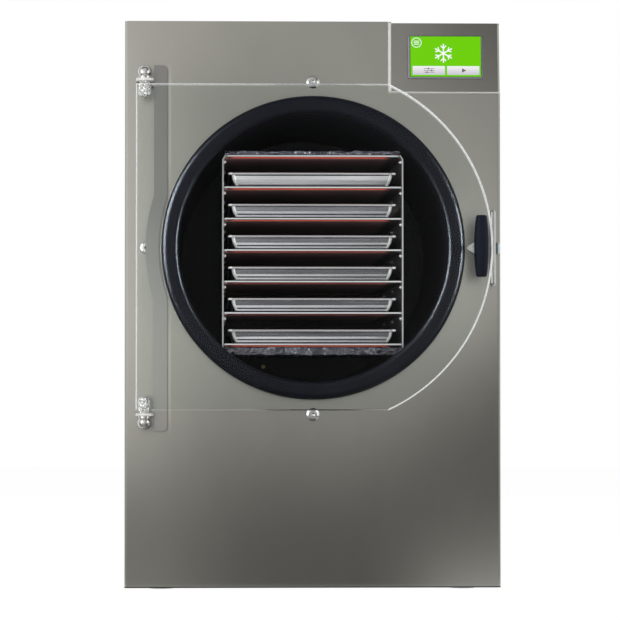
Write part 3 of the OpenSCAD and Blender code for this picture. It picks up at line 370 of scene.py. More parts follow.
def heater_looks():
    """A mat's sealed edge is red, with painted shade that dims it on the middle shelves and darkens its
    ends; its field is dark, with painted shade: lighter near the front, darker deeper in and at its right
    end.
    """
    m = Look("heater_edge_painted_shade", linear(206, 78, 52), 0.6)
    up = m.span(m.axis("Z"), 0, 1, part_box(HEATERS[0])[0].z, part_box(HEATERS[-1])[1].z)
    # painted shade: the red is dimmer on some shelves, by height
    red = m.ramp(up, (0.0, linear(190, 74, 50)), (0.17, linear(84, 34, 30)), (0.5, linear(140, 54, 38)),
                 (0.8, linear(206, 78, 52)))
    far = m.calc("ABSOLUTE", m.span(m.axis("X"), -0.995, 1.005, -1, 1))
    # painted shade: the red edge darkens to near black at both ends
    m.set("Base Color", m.mix(m.span(far, 0, 1, 103 * MM, 110 * MM), red, linear(14, 10, 11)))
    m.wear((40,), 0.5, 0.7)
    m.grain(900, 0.3, 0.0003)
    M["heater_silicone"] = m.mat
    m = Look("heater_field_painted_shade", rgb(0.30, 0.12, 0.11), 0.6)
    m.set("Specular IOR Level", 0.15)
    # painted shade: the field is lighter near the front and darker deeper in
    painted_depth_shade = m.ramp(m.span(m.axis("Y"), 1, 0, FRONT, FRONT + 70 * MM), (0.1, rgb(0.22, 0.12, 0.13)),
                  (0.9, rgb(0.52, 0.25, 0.24)))
    # painted shade: the field darkens at its right end
    m.set("Base Color", m.mix(m.span(m.axis("X"), 0, 1, 98 * MM, 108 * MM), painted_depth_shade, rgb(0.05, 0.035, 0.04)))
    m.grain(700, 0.3, 0.0003)
    M["heater_field_painted_shade"] = m.mat


def fin_look():
    m = Look("condenser_fins", rgb(0.75, 0.76, 0.78), 0.4, 1.0)
    wave = m.node("ShaderNodeTexWave", bands_direction="X")
    wave.inputs["Scale"].default_value = 160
    m.feed(m.place(), wave.inputs["Vector"])
    bump = m.node("ShaderNodeBump")
    bump.inputs["Strength"].default_value = 0.8
    bump.inputs["Distance"].default_value = 0.001
    m.feed(wave.outputs["Fac"], bump.inputs["Height"])
    m.set("Normal", bump.outputs["Normal"])
    dark, light = rgb(0.25, 0.25, 0.26), rgb(0.8, 0.81, 0.83)
    m.set("Base Color", m.ramp(wave.outputs["Fac"], (0.2, dark), (0.8, light)))
    M["condenser_fins"] = m.mat


def clear_look(name, edge=None):
    """Clear acrylic. Light passes through to what is behind; an edge scatters, from low to high."""
    m = Look(name, rgb(0.985, 0.995, 0.99), 0.0, 0.0)
    m.set("Transmission Weight", 1.0)
    m.set("IOR", 1.49)
    m.set("Specular Tint", rgb(0.1, 0.1, 0.1))
    clear = m.node("ShaderNodeBsdfTransparent")
    clear.inputs["Color"].default_value = rgb(0.97, 0.985, 0.98)
    body = m.bsdf.outputs[0]
    if edge:
        sawn = m.node("ShaderNodeBsdfDiffuse")
        sawn.inputs["Color"].default_value = rgb(0.93, 0.95, 0.95)
        body = m.blend(m.span(m.noise(300, 3, (1, 0.1, 1)), *edge), body, sawn.outputs[0])
    m.show(m.blend(m.rays("Camera", "Transmission"), clear.outputs[0], body))
    M[name] = m.mat


def lit(name, color, strength=1.0, base=(0.02, 0.02, 0.02, 1)):
    """A lit part of a screen, under glass."""
    m = Look(name, base, 0.25)
    m.set("Specular IOR Level", 0.08)
    m.set("Emission Color", color)
    m.set("Emission Strength", strength)
    return m


front_look()
hinge_look()
cam_look()
heater_looks()
fin_look()
clear_look("clear_acrylic")
clear_look("acrylic_edge", (0.80, 0.96))
clear_look("acrylic_polished", (0.03, 0.08))
clear_look("acrylic_satin", (0.30, 0.42))


# ------------------------------------------------------------------ mesh helpers


def mesh_object(name, verts, faces):
    mesh = bpy.data.meshes.new(name)
    mesh.from_pydata([tuple(v) for v in verts], [], faces)
    mesh.update()
    ob = bpy.data.objects.new(name, mesh)
    bpy.context.scene.collection.objects.link(ob)
    return ob


def piece(name, verts, faces, body, mats, instead=(), smooth=None, index=None):
    """A mesh piece in the row frame that rides on a body and may stand for CAD nodes."""
    ob = mesh_object(name, verts, faces)
    mesh = ob.data
    for m in mats:
        mesh.materials.append(m)
    if index:
        mesh.polygons.foreach_set("material_index", index)
    if smooth is not None:
        mesh.shade_smooth()
    bm = bmesh.new()
    bm.from_mesh(mesh)
    bmesh.ops.recalc_face_normals(bm, faces=bm.faces)
    bm.to_mesh(mesh)
    bm.free()
    if smooth is not None:
        mesh.set_sharp_from_angle(angle=math.radians(smooth))
    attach(ob, body)
    if instead:
        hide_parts(*instead)
    return ob


def turn(degrees):
    """The unit circle's point at an angle."""
    a = math.radians(degrees)
    return math.cos(a), math.sin(a)


def round_rect(w, h, r, n=6):
    """Points of a rectangle with round corners, anticlockwise, centred on the origin."""
    pts = []
    r = max(r, 1e-5)
    for cx, cy, start in ((1, 1, 0), (-1, 1, 90), (-1, -1, 180), (1, -1, 270)):
        for i in range(n + 1):
            c, s = turn(start + 90 * i / n)
            pts.append((cx * (w / 2 - r) + r * c, cy * (h / 2 - r) + r * s))
    return pts


def loft(rings, close=(True, True)):
    """Faces between rings of equal length; close caps the first and the last."""
    verts = [v for ring in rings for v in ring]
    n = len(rings[0])
    faces = []
    for k in range(len(rings) - 1):
        for i in range(n):
            j = (i + 1) % n
            faces.append((k * n + i, k * n + j, (k + 1) * n + j, (k + 1) * n + i))
    if close[0]:
        faces.append(tuple(range(n))[::-1])
    if close[1]:
        faces.append(tuple((len(rings) - 1) * n + i for i in range(n)))
    return verts, faces


def join_parts(parts):
    """Several (verts, faces) as one."""
    verts, faces = [], []
    for v, f in parts:
        k = len(verts)
        verts += list(v)
        faces += [tuple(i + k for i in face) for face in f]
    return verts, faces


def circle(r, n):
    """Points of a circle, anticlockwise."""
    return [(r * c, r * s) for c, s in (turn(360 * i / n) for i in range(n))]


def lathe(profile, frame_of, n=40):
    """Turns (radius, height) points round a frame's Z; frame_of maps (x, y, z) to the row frame."""
    return loft([[frame_of(x, y, h) for x, y in circle(r, n)] for r, h in profile])


def inset(points, d):
    """A convex outline moved inwards by d, anticlockwise points."""
    out = []
    n = len(points)
    for i in range(n):
        p0, p1, p2 = points[i - 1], points[i], points[(i + 1) % n]
        e1 = Vector((p1[0] - p0[0], p1[1] - p0[1])).normalized()
        e2 = Vector((p2[0] - p1[0], p2[1] - p1[1])).normalized()
        n1, n2 = Vector((-e1.y, e1.x)), Vector((-e2.y, e2.x))
        m = (n1 + n2).normalized()
        k = d / max(0.3, m.dot(n1))
        out.append((p1[0] + m.x * k, p1[1] + m.y * k))
    return out


def extrude_y(points, y0, y1, ease):
    """An outline in X and Z drawn out along Y, its end edges eased by an inset."""
    inner = inset(points, ease)
    rings = []
    for ring, y in ((inner, y0), (points, y0 + ease), (points, y1 - ease), (inner, y1)):
        rings.append([(x, y, z) for x, z in ring])
    return loft(rings)


# ------------------------------------------------------------------ CAD nodes that stay

KEEP = {
    "stainless": ["front_panel", "control_panel", "side_panel_left", "side_panel_right", "top_panel"],
    "galvanised": ["back_panel", "base_pan", "chamber_cradle", "control_box"],
    "foot_rubber": ["feet"],
    "chamber_black": ["chamber"],
    "gasket_rubber": ["chamber_gasket"],
    "chrome": ["hinge_pins", "hinge_nuts", "door_bushes", "latch_spindle",
               "latch_keeper", "latch_cam"],
    "copper": ["evaporator_coil"],
    "foam": ["chamber_insulation"],
    "hinge_steel": ["hinge_plate", "hinge_studs"],
    "handle_black": ["latch_handle"],
    "compressor_black": ["compressor"],
    "condenser_fins": ["condenser"],
    "fan_plastic": ["fan_frame", "fan_blades"],
    "brass": ["vacuum_fitting", "drain_valve"],
    "lever_red": ["drain_lever"],
    "inlet_plastic": ["power_inlet"],
    "rocker_plastic": ["switch_rocker"],
}
for slot, names in KEEP.items():
    for n in names:
        ob = NODES[n]
        ob.data.materials.clear()
        ob.data.materials.append(M[slot])


def soften(name, width):
    """Rounds a CAD node's edges by a small bevel."""
    ob = NODES[name]
    weld = ob.modifiers.new("weld", "WELD")
    weld.merge_threshold = 0.00001
    bevel = ob.modifiers.new("bevel", "BEVEL")
    bevel.width = width
    bevel.segments = 3
    bevel.limit_method = "ANGLE"
    bevel.angle_limit = math.radians(35)
    bevel.harden_normals = True


soften("hinge_plate", 1.4 * MM)
NODES["front_panel"].data.materials[0] = M["front"]
NODES["door_bushes"].data.materials[0] = M["bush_chrome"]
NODES["latch_cam"].data.materials[0] = M["cam_chrome_painted_light"]


# ------------------------------------------------------------------ hinge nuts and keeper


def hinge_nuts():
    """Round-headed nuts with a collar, on the ears of the hinge plate."""
    low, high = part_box("hinge_nuts")
    px, py = (low.x + high.x) / 2, (low.y + high.y) / 2
    prof = [(8.3, 0), (8.7, 0.4), (8.7, 2.6), (8.2, 3.0), (7.2, 3.1), (7.3, 3.8), (8.7, 5.4), (9.4, 7.4),
            (9.6, 9.3), (9.3, 11.6), (8.3, 14.0), (6.5, 16.2), (4.2, 17.5), (2.0, 18)]
    tall = prof[-1][1] * MM
    parts = []
    for base, up in ((high.z - tall, 1), (low.z + tall, -1)):
        def at(u, v, h, base=base, up=up):
            return (px + u, py + v, base + up * h)
        parts.append(lathe([(r * MM, h * MM) for r, h in prof], at, 36))
    verts, faces = join_parts(parts)
    piece("looks_hinge_nuts", verts, faces, "cabinet", [M["chrome"]], ["hinge_nuts"], 40)


hinge_nuts()
KEEPER_BASE = 2.5 * MM


def keeper():
    """A base strip and, in front of the cam, one bar on two legs."""
    low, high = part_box("latch_keeper")
    r = (high.x - low.x) / 2
    mid, leg = (low.x + high.x) / 2, r * 0.98
    bar_y = low.y + r
    n = 20
    rings = []
    path = [(0.3, 0.1)]
    for c, s in map(turn, (20, 45, 70, 90)):
        path.append((1 - c, s))
    ends = [(low.z + r * d, r * k) for d, k in path]
    ends += [(high.z - r * d, r * k) for d, k in path[::-1]]
    for z, k in ends:
        rings.append([(mid + x, bar_y + y, z) for x, y in circle(k, n)])
    parts = [loft(rings)]
    for z in (low.z + r, high.z - r):
        parts.append(loft([[(mid + u, y, z + v) for u, v in circle(leg, n)] for y in (bar_y, high.y)]))
    strip = [(mid + x, (low.z + high.z) / 2 + z) for x, z in round_rect(2 * r, high.z - low.z, r, 8)]
    parts.append(extrude_y(strip, high.y - KEEPER_BASE, high.y, 0.4 * MM))
    verts, faces = join_parts(parts)
    piece("looks_latch_keeper", verts, faces, "cabinet", [M["chrome"]], ["latch_keeper"], 35)


keeper()


# ------------------------------------------------------------------ chamber bolts


def chamber_bolts():
    """Button-head socket screws at the compass points of the bolt circle."""
    low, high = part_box("chamber_bolts")
    cad_head, shank, wide, across, n = 8.5 * MM, 4 * MM, 9.2 * MM, 2.6 * MM, 36
    reach = (high.x - low.x) / 2 - cad_head
    # radius and Y: the shank, the head's side, its chamfer and its flat top
    prof = [(shank, high.y), (shank, FRONT), (wide * 0.97, FRONT), (wide, FRONT - 0.3 * MM)]
    crown = ((0.98, 2.0), (0.94, 1.75), (0.66, 0.45), (0.60, 0.3), (0.44, 0.3))
    prof += [(wide * k, low.y + y * MM) for k, y in crown]
    # the socket: the same count of points, drawn in to a hexagon, with a drilled floor
    socket = [(across * 1.1, 0.3), (across, 0.5), (0.5 * MM, 1.55), (0.3 * MM, 1.6)]
    parts = []
    for k in range(4):
        c, s = turn(90 * k)
        bx, bz = reach * c, AXIS_Z + reach * s
        rings = [[(bx + x, y, bz + z) for x, z in circle(r, n)] for r, y in prof]
        for r, y in socket:
            ring = []
            for i, (x, z) in enumerate(circle(r, n)):
                near = (i * math.tau / n % (math.pi / 3)) - math.pi / 6
                six = math.cos(math.pi / 6) / math.cos(near)
                ring.append((bx + x * six, low.y + y * MM, bz + z * six))
            rings.append(ring)
        parts.append(loft(rings))
    verts, faces = join_parts(parts)
    piece("looks_chamber_bolts", verts, faces, "cabinet", [M["chrome"]], ["chamber_bolts"], 35)


chamber_bolts()


# ------------------------------------------------------------------ trays

TRAY_SHIFT = 1 * MM
# the profile's bands by kind, numbered from the foot: grooves painted dark as shade, the wall painted
# darker as shade, and the front corners painted pale and less metallic as a highlight
SHADED_GROOVES = {0, 1, 5, 12, 13}
SHADED_WALL = {9, 10, 11}
HIGHLIT_CORNER = set(range(2, 22)) - {13}
TOP_SHADED_GROOVES = {0, 1, 2, 12, 13}
TOP_SHADED_WALL = {3}
ARC = 8


def tray(name):
    """A pressed tray with a rolled rim; the profile runs from its foot round the rim to its floor."""
    low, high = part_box(name)
    w, l, h = (high.x - low.x) / MM, (high.y - low.y) / MM, (high.z - low.z) / MM
    cx, cy = (low.x + high.x) / 2 - TRAY_SHIFT, (low.y + high.y) / 2
    roll, corner = 1.6, 6.0
    # inset from the rim's outside, and height
    profile = [(15.5, 0), (12.8, 0.3), (10.5, 1.4), (10.15, 2.0), (9.45, 3.5), (9.2, 4.0), (8.0, 5.8)]
    profile += [(7.76, 6.3), (6.79, 8.3), (6.54, 8.8), (6.4, 9.4), (5.3, h - 5.2), (5.15, h - 4.6)]
    profile += [(5.1, h - 3), (2.2, h - 2.4)]
    for c, s in map(turn, (-80, -50, -20, 10, 40, 70, 90)):
        profile.append((roll - roll * c, h - roll + roll * s))
    profile += [(3.6, h - 0.05), (4.4, h - 0.5), (6.5, h - 2.4), (7.8, 8.8), (9.4, 5.8), (11.2, 3.0)]
    profile += [(13.4, 1.6), (16.5, 1.0)]
    rings = []
    for d, z in profile:
        ring = round_rect((w - 2 * d) * MM, (l - 2 * d) * MM, (corner - d * 0.1) * MM, ARC)
        rings.append([(cx + x, cy + y, low.z + z * MM) for x, y in ring])
    verts, faces = loft(rings)
    n = len(rings[0])
    shaded_grooves, wall = (TOP_SHADED_GROOVES, TOP_SHADED_WALL) if name == TRAYS[-1] else (SHADED_GROOVES, SHADED_WALL)
    # the front corners' points: most of the third corner's arc, and of the fourth's
    front = set(range(2 * ARC + 2, 3 * ARC + 1)) | set(range(3 * ARC + 4, 4 * ARC + 3))

    # the front corners get the painted highlight, the grooves and the wall painted shade
    def finish_of(k):
        band = k // n
        if band in HIGHLIT_CORNER and k % n in front:
            return 3
        return 1 if band in shaded_grooves else 2 if band in wall else 0

    index = [finish_of(k) for k in range(len(faces) - 2)] + [0, 0]
    mats = [M["tray_steel"], M["tray_groove_painted_shade"], M["tray_wall"], M["tray_corner_painted_highlight"]]
    piece("looks_" + name, verts, faces, "cabinet", mats, [name], 50, index)


for name in TRAYS:
    tray(name)


# ------------------------------------------------------------------ foil


def crumpled(low, high, cell, depth, seed, keep_low=False, hold_r=0):
    """A box-shaped wad of foil: a grid of facets pushed in by noise, shaded flat.

    cell is its grid's spacing on each axis, keep_low leaves its underside flat, and hold_r keeps it
    inside the chamber.
    """
    size = high - low
    nx, ny, nz = (max(1, round(s / c)) for s, c in zip(size, cell))
    pitch = cell[0]
    bm = bmesh.new()
    made = {}

    def at(i, j, k):
        key = (i, j, k)
        if key not in made:
            p = Vector((low.x + size.x * i / nx, low.y + size.y * j / ny, low.z + size.z * k / nz))
            q = p / (pitch * 1.7) + Vector((seed, seed * 2, 0))
            v = noise.noise_vector(q)
            w = noise.noise(p / (pitch * 5) + Vector((seed, 0, 3)))
            mid = (low + high) / 2
            inward = Vector([(-1 if p[a] > mid[a] else 1) for a in range(3)])
            edge = Vector([1 if (key[a] in (0, (nx, ny, nz)[a])) else 0 for a in range(3)])
            for a in range(3):
                if edge[a]:
                    if a == 2 and keep_low and key[2] == 0:
                        continue
                    p[a] += inward[a] * depth * (0.5 + 0.5 * v[a] + 0.5 * w)
                else:
                    p[a] += v[a] * cell[a] * 0.35
            for a in range(3):
                p[a] = min(max(p[a], low[a]), high[a])
            r = math.hypot(p.x, p.z - AXIS_Z)
            if hold_r and r > hold_r:
                p.x *= hold_r / r
                p.z = AXIS_Z + (p.z - AXIS_Z) * hold_r / r
            made[key] = bm.verts.new(p)
        return made[key]

    def quad(*keys):
        a, b, c, d = (at(*k) for k in keys)
        if noise.noise(a.co * 900) > 0:
            bm.faces.new((a, b, c))
            bm.faces.new((a, c, d))
        else:
            bm.faces.new((b, c, d))
            bm.faces.new((b, d, a))

    for i in range(nx):
        for j in range(ny):
            for k in (0, nz):
                quad((i, j, k), (i + 1, j, k), (i + 1, j + 1, k), (i, j + 1, k))
        for k in range(nz):
            for j in (0, ny):
                quad((i, j, k), (i + 1, j, k), (i + 1, j, k + 1), (i, j, k + 1))
    for j in range(ny):
        for k in range(nz):
            for i in (0, nx):
                quad((i, j, k), (i, j + 1, k), (i, j + 1, k + 1), (i, j, k + 1))
    verts = [tuple(v.co) for v in bm.verts]
    bm.verts.index_update()
    faces = [tuple(v.index for v in f.verts) for f in bm.faces]
    bm.free()
    return verts, faces


FOILS = (
    ("foil_top", (2.6 * MM, 6 * MM, 2.2 * MM), 2.6 * MM, 1.3, True, 0),
    ("foil_bottom", (2.6 * MM, 6 * MM, 2.4 * MM), 2.0 * MM, 7.7, False, 184 * MM),
)
# mathutils.noise takes its offsets from the clock unless it is given a seed
noise.seed_set(1)
for name, *how in FOILS:
    v, f = crumpled(*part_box(name), *how)
    piece("looks_" + name, v, f, "cabinet", [M["foil"]], [name])


# ------------------------------------------------------------------ rack


def shelf(name):
    """A shelf: a plate whose ends turn down onto the rack's sides, with a round front edge."""
    low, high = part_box(name)
    t, r, down, lip = high.z - low.z, 2.0 * MM, 5 * MM, 1.6 * MM
    x0, x1 = low.x, high.x
    if name == SHELVES[-1]:
        x0, x1 = x0 + RACK_CHAMFER, x1 - RACK_CHAMFER
    arc = [turn(a) for a in (90, 60, 30, 0)]
    pts = [(x0 + r - r * c, high.z - r + r * s) for c, s in arc]
    foot = high.z - down
    pts += [(x0, foot), (x0 + lip, foot), (x0 + lip, low.z)]
    pts += [(x1 - lip, low.z), (x1 - lip, foot), (x1, foot)]
    pts += [(x1 - r + r * c, high.z - r + r * s) for c, s in arc[::-1]]
    inner = inset(pts, 0.7 * MM)
    crest = low.z + 2.6 * MM
    front = [(x, min(z, crest)) for x, z in inner]
    rings = []
    for ring, y in ((front, low.y), (inner, low.y + 4 * MM), (inner, high.y)):
        rings.append([(x, y, z) for x, z in ring])
    verts, faces = loft(rings)
    piece("looks_" + name, verts, faces, "cabinet", [M["rack_metal"]], [name], 40)


def rack_side(name, side):
    """A side plate of the rack; its top is folded inwards to the highest shelf."""
    low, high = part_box(name)
    t = high.x - low.x
    edge = high.x if side > 0 else low.x
    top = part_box(SHELVES[-1])[1].z
    rise = 6 * MM
    path = [(edge, low.z), (edge, top - rise), (edge - side * RACK_CHAMFER, top)]
    k = t / math.cos(math.atan2(RACK_CHAMFER, rise))
    inner = [(edge - side * (RACK_CHAMFER + k), top), (edge - side * t, top - rise - 0.3 * t),
             (edge - side * t, low.z)]
    verts, faces = extrude_y((path + inner)[::side], low.y, high.y, 0.5 * MM)
    piece("looks_" + name, verts, faces, "cabinet", [M["rack_metal"]], [name], 40)


def rack_screws():
    """Pan-head screws under the ends of the shelves, on the inner faces of the side plates."""
    low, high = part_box("rack_screws")
    rows = sorted({round(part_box(n)[0].z, 6) for n in SHELVES[1:]})
    head, tall, drop = 3.0 * MM, 3.6 * MM, 6 * MM
    y_first, y_last = low.y + head, high.y - head
    parts = []
    for z in rows:
        for y in (y_first, (y_first + y_last) / 2, y_last):
            for side, x in ((1, low.x), (-1, high.x)):
                def at(u, v, h, x=x, y=y, z=z, side=side):
                    return (x + side * h, y + u, z - drop + v)
                prof = [(head, 0), (head, 0.5 * MM), (head * 0.95, 1.8 * MM), (head * 0.75, 2.9 * MM),
                        (head * 0.42, tall), (head * 0.36, tall), (head * 0.30, 1.4 * MM)]
                parts.append(lathe(prof, at, 16))
    verts, faces = join_parts(parts)
    piece("looks_rack_screws", verts, faces, "cabinet", [M["zinc"]], ["rack_screws"], 35)


def heater(name):
    """A heater mat: a heated field, dark with painted shade, and a sealed red edge at the front."""
    low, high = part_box(name)
    w, l = high.x - low.x, high.y - low.y
    cx, cy = (low.x + high.x) / 2, (low.y + high.y) / 2
    edge = 1.6 * MM
    rings = []
    for d, z in ((0.2 * MM, high.z), (0, high.z - 0.3 * MM), (0, low.z + 0.3 * MM), (0.3 * MM, low.z),
                 (edge, low.z), (edge + 0.2 * MM, low.z + 0.3 * MM)):
        rings.append([(cx + x, cy + y, z) for x, y in round_rect(w - 2 * d, l - 2 * d, 3 * MM, 3)])
    verts, faces = loft(rings)
    mats = [M["heater_silicone"], M["heater_field_painted_shade"]]
    index = []
    for f in faces:
        mid = sum((Vector(verts[i]) for i in f), Vector()) / len(f)
        index.append(0 if mid.y < low.y + edge and abs(mid.x) < high.x - 2 * edge else 1)
    piece("looks_" + name, verts, faces, "cabinet", mats, [name], 40, index)


for name in SHELVES:
    shelf(name)
for name in HEATERS:
    heater(name)
rack_side("rack_side_left", -1)
rack_side("rack_side_right", 1)
rack_screws()


# ------------------------------------------------------------------ door

DOOR_R = 244 * MM


def door():
    """A clear plate: straight at the hinge, above and below, and round at the latch."""
    left, half = DOOR_LOW.x, (DOOR_HIGH.z - DOOR_LOW.z) / 2
    n = 96
    end = math.degrees(math.asin(half / DOOR_R))
    pts = [(left, AXIS_Z - half)]
    for i in range(n + 1):
        c, s = turn(end * (2 * i / n - 1))
        pts.append((DOOR_R * c, AXIS_Z + DOOR_R * s))
    pts.append((left, AXIS_Z + half))
    verts, faces = extrude_y(pts, DOOR_LOW.y, DOOR_HIGH.y, 1.5 * MM)
    # the left side and the arc are sawn, the top is satin and the bottom polished
    around = [2] + [1] * n + [3, 1]
    index = around * 3 + [0, 0]
    mats = [M["clear_acrylic"], M["acrylic_edge"], M["acrylic_polished"], M["acrylic_satin"]]
    piece("looks_door", verts, faces, "door", mats, ["door"], 25, index)


door()


# ------------------------------------------------------------------ display

PANEL = Matrix.Translation((NOTCH_X, FRONT + PANEL_STEP, NOTCH_Z)) @ Matrix.Rotation(-PANEL_TILT, 4, "X")
# all in mm on the panel: the display's corner and size, its frame's widths, and the lit screen inside
CASE = (22.5, 18.0, 104.0, 61.0)
LEFT, RIGHT, LOW, HIGH = 4.2, 2.4, 3.1, 1.0
SX, SZ = CASE[0] + LEFT, CASE[1] + LOW
SW, SH = CASE[2] - LEFT - RIGHT, CASE[3] - LOW - HIGH
# the dark line round the screen, and its width along the top
LINE, LINE_TOP = 0.9, 0.8
CREST = 1.2
# the two keys' left sides and foot from the screen's corner, and their size
KEYS = (3.0, 50.5)
KEY_FOOT, KEY_W, KEY_H = 2.6, 44.5, 12.4
SIGN_OUT = 1.1


def on_panel(x, out, z):
    """A point of the control panel's face: x and z in mm from its lower left corner, out in front."""
    return PANEL @ Vector((x * MM, -out * MM, z * MM))


def flat(points, out, thick=0.15):
    """A thin raised shape on the display, from (x, z) points in mm."""
    return loft([[on_panel(x, o, z) for x, z in points] for o in (out - thick, out)])


def box_points(x, z, w, h, r, n=4):
    """A rectangle with round corners, from its lower left corner."""
    return [(x + w / 2 + px, z + h / 2 + pz) for px, pz in round_rect(w, h, r, n)]


def ring_points(x, z, r, n):
    return [(x + px, z + pz) for px, pz in circle(r, n)]


def bar(x0, z0, x1, z1, w):
    """A stroke from one point to another, its square ends past them."""
    d = Vector((x1 - x0, z1 - z0)).normalized() * w / 2
    p = Vector((-d.y, d.x))
    return [(x0 - d.x - p.x, z0 - d.y - p.y), (x1 + d.x - p.x, z1 + d.y - p.y),
            (x1 + d.x + p.x, z1 + d.y + p.y), (x0 - d.x + p.x, z0 - d.y + p.y)]


def snowflake(x, z, r, w):
    """Six arms with side twigs: a plain sign for freezing."""
    parts = []
    for k in range(6):
        angle = 30 + 60 * k
        ux, uz = turn(angle)
        parts.append(flat(bar(x, z, x + ux * r, z + uz * r, w), SIGN_OUT))
        px, pz = x + ux * r * 0.55, z + uz * r * 0.55
        for tx, tz in (turn(angle - 60), turn(angle + 60)):
            parts.append(flat(bar(px, pz, px + tx * r * 0.3 + ux * r * 0.12,
                                  pz + tz * r * 0.3 + uz * r * 0.12, w * 0.85), SIGN_OUT))
    return parts


def display_frame():
    """A pale frame with rounded edges, a dark line inside it, and its back behind the panel."""
    def around(d, r):
        x, z, w, h = CASE
        return box_points(x + d, z + d, w - 2 * d, h - 2 * d, r)

    body, outer, lip = around(4, 0.5), around(0, 2.5), around(0.5, 2.1)
    line = box_points(SX - LINE, SZ - LINE, SW + 2 * LINE, SH + LINE + LINE_TOP, 1.0)
    inner = box_points(SX, SZ, SW, SH, 0.8)
    rings = []
    for pts, out in ((body, -16), (body, 0), (outer, 0.02), (outer, 0.8), (lip, CREST), (line, CREST),
                     (inner, CREST), (inner, 0.85)):
        rings.append([on_panel(x, out, z) for x, z in pts])
    v, f = loft(rings)
    # the pale crest is the band from the lip to the line; the rest is dark
    n = len(outer)
    index = [0 if k // n == 4 else 1 for k in range(len(f) - 2)] + [1, 1]
    mats = [M["display_frame"], M["display_line"]]
    piece("looks_display_frame", v, f, "cabinet", mats, ["touch_display"], 35, index)


def on_screen(name, look, parts):
    v, f = join_parts(parts)
    piece(name, v, f, "cabinet", [look.mat])


def screen():
    """A green field, and two pale keys with a soft shading from top to bottom."""
    green = lit("screen_green", linear(110, 207, 8), 1.0, rgb(0.002, 0.004, 0.002))
    on_screen("looks_screen", green, [flat(box_points(SX, SZ, SW, SH, 0.8), 0.9, 0.2)])
    key = lit("screen_keys", rgb(0.9, 0.9, 0.92), 0.9)
    z_low, z_high = (on_panel(0, 0, CASE[1] + up).z for up in (4.5, 17))
    fac = key.span(key.axis("Z"), 0, 1, z_low, z_high)
    key.set("Emission Color", key.ramp(fac, (0.0, linear(206, 200, 214)), (0.5, linear(226, 224, 230)),
                                       (1.0, linear(250, 250, 252))))
    outlines = [box_points(SX + x, SZ + KEY_FOOT, KEY_W, KEY_H, 0.6) for x in KEYS]
    on_screen("looks_screen_keys", key, [flat(points, 1.02, 0.12) for points in outlines])


def key_signs():
    """Plain signs: three sliders on the left key and a play mark on the right."""
    parts = []
    x, z = SX + 25.7, SZ + 8.8
    for dz, knob in ((-2.6, -3.0), (0, 3.4), (2.6, -1.0)):
        parts.append(flat(bar(x - 7, z + dz, x + 7, z + dz, 0.6), SIGN_OUT, 0.08))
        parts.append(flat(ring_points(x + knob, z + dz, 1.15, 16), 1.12, 0.1))
    x = SX + 73.7
    parts.append(flat([(x - 2.6, z - 3.1), (x + 3.2, z), (x - 2.6, z + 3.1)], SIGN_OUT, 0.08))
    on_screen("looks_screen_signs", lit("screen_marks", linear(96, 92, 100)), parts)


def white_signs():
    """A snowflake in the middle, and three strokes in a ring at the upper left."""
    white = lit("screen_white", linear(250, 252, 246))
    parts = snowflake(SX + SW / 2 - 3, SZ + 33, 12.5, 1.7)
    x, z, r, stroke, back = SX + 8.6, SZ + 48, 7.0, 0.9, 1.0
    hole = r - stroke
    rings = []
    for k, out in ((hole, SIGN_OUT), (r, SIGN_OUT), (r, back), (hole, back), (hole, SIGN_OUT)):
        rings.append([on_panel(px, out, pz) for px, pz in ring_points(x, z, k, 36)])
    parts.append(loft(rings, (False, False)))
    for up in (-2.2, 0, 2.2):
        parts.append(flat(bar(x - 3.2, z + up, x + 3.2, z + up, stroke), SIGN_OUT))
    on_screen("looks_screen_emblem", white, parts)


display_frame()
screen()
key_signs()
white_signs()


# ------------------------------------------------------------------ stage, light and camera


def aim(ob, target):
    ob.rotation_mode = "QUATERNION"
    ob.rotation_quaternion = (Vector(target) - ob.location).to_track_quat("-Z", "Y")


def softbox(name, at, target, size, power, color=(1, 1, 1)):
    light = bpy.data.lights.new(name, "AREA")
    light.shape = "RECTANGLE"
    light.size, light.size_y = size
    light.energy = power
    light.color = color
    ob = bpy.data.objects.new(name, light)
    bpy.context.scene.collection.objects.link(ob)
    ob.location = at
    ob.visible_glossy = False
    aim(ob, target)
    return ob


SEEN = ("Camera", "Glossy", "Transmission")
MID = (0, FRONT, 0.40)
softbox("soft_left", (-1.55, FRONT - 1.7, 0.95), MID, (0.45, 1.5), 15)
softbox("soft_right", (1.55, FRONT - 1.7, 0.85), MID, (0.4, 1.4), 12)
softbox("soft_top", (0, FRONT - 0.6, 2.5), (0, 0, 0.4), (1.8, 1.0), 22)


def studio():
    """A white world: full for what is seen, weaker for the light it gives."""
    world = bpy.data.worlds.new("studio")
    bpy.context.scene.world = world
    w = Nodes(world, "ShaderNodeOutputWorld")
    ends = []
    for strength in (0.34, 1.0):
        n = w.node("ShaderNodeBackground")
        n.inputs["Color"].default_value = rgb(1, 1, 1)
        n.inputs["Strength"].default_value = strength
        ends.append(n.outputs[0])
    w.show(w.blend(w.rays(*SEEN), *ends))


def floor():
    """A pale floor that is nearly white to the eye and still takes the shadow."""
    r = 6
    ob = mesh_object("floor", [(-r, -r, 0), (r, -r, 0), (r, r, 0), (-r, r, 0)], [(0, 1, 2, 3)])
    m = Look("pale_floor", rgb(0.9, 0.9, 0.9), 0.9)
    glow = m.node("ShaderNodeEmission")
    glow.inputs["Strength"].default_value = 1.14
    m.show(m.blend(m.calc("MULTIPLY", m.rays(*SEEN), 0.80), m.bsdf.outputs[0], glow.outputs[0]))
    ob.data.materials.append(m.mat)


studio()
floor()


def smooth(a, b, t):
    """0 where t is a, 1 where it is b, and eased between them."""
    t = min(1, max(0, (t - a) / (b - a)))
    return t * t * (3 - 2 * t)


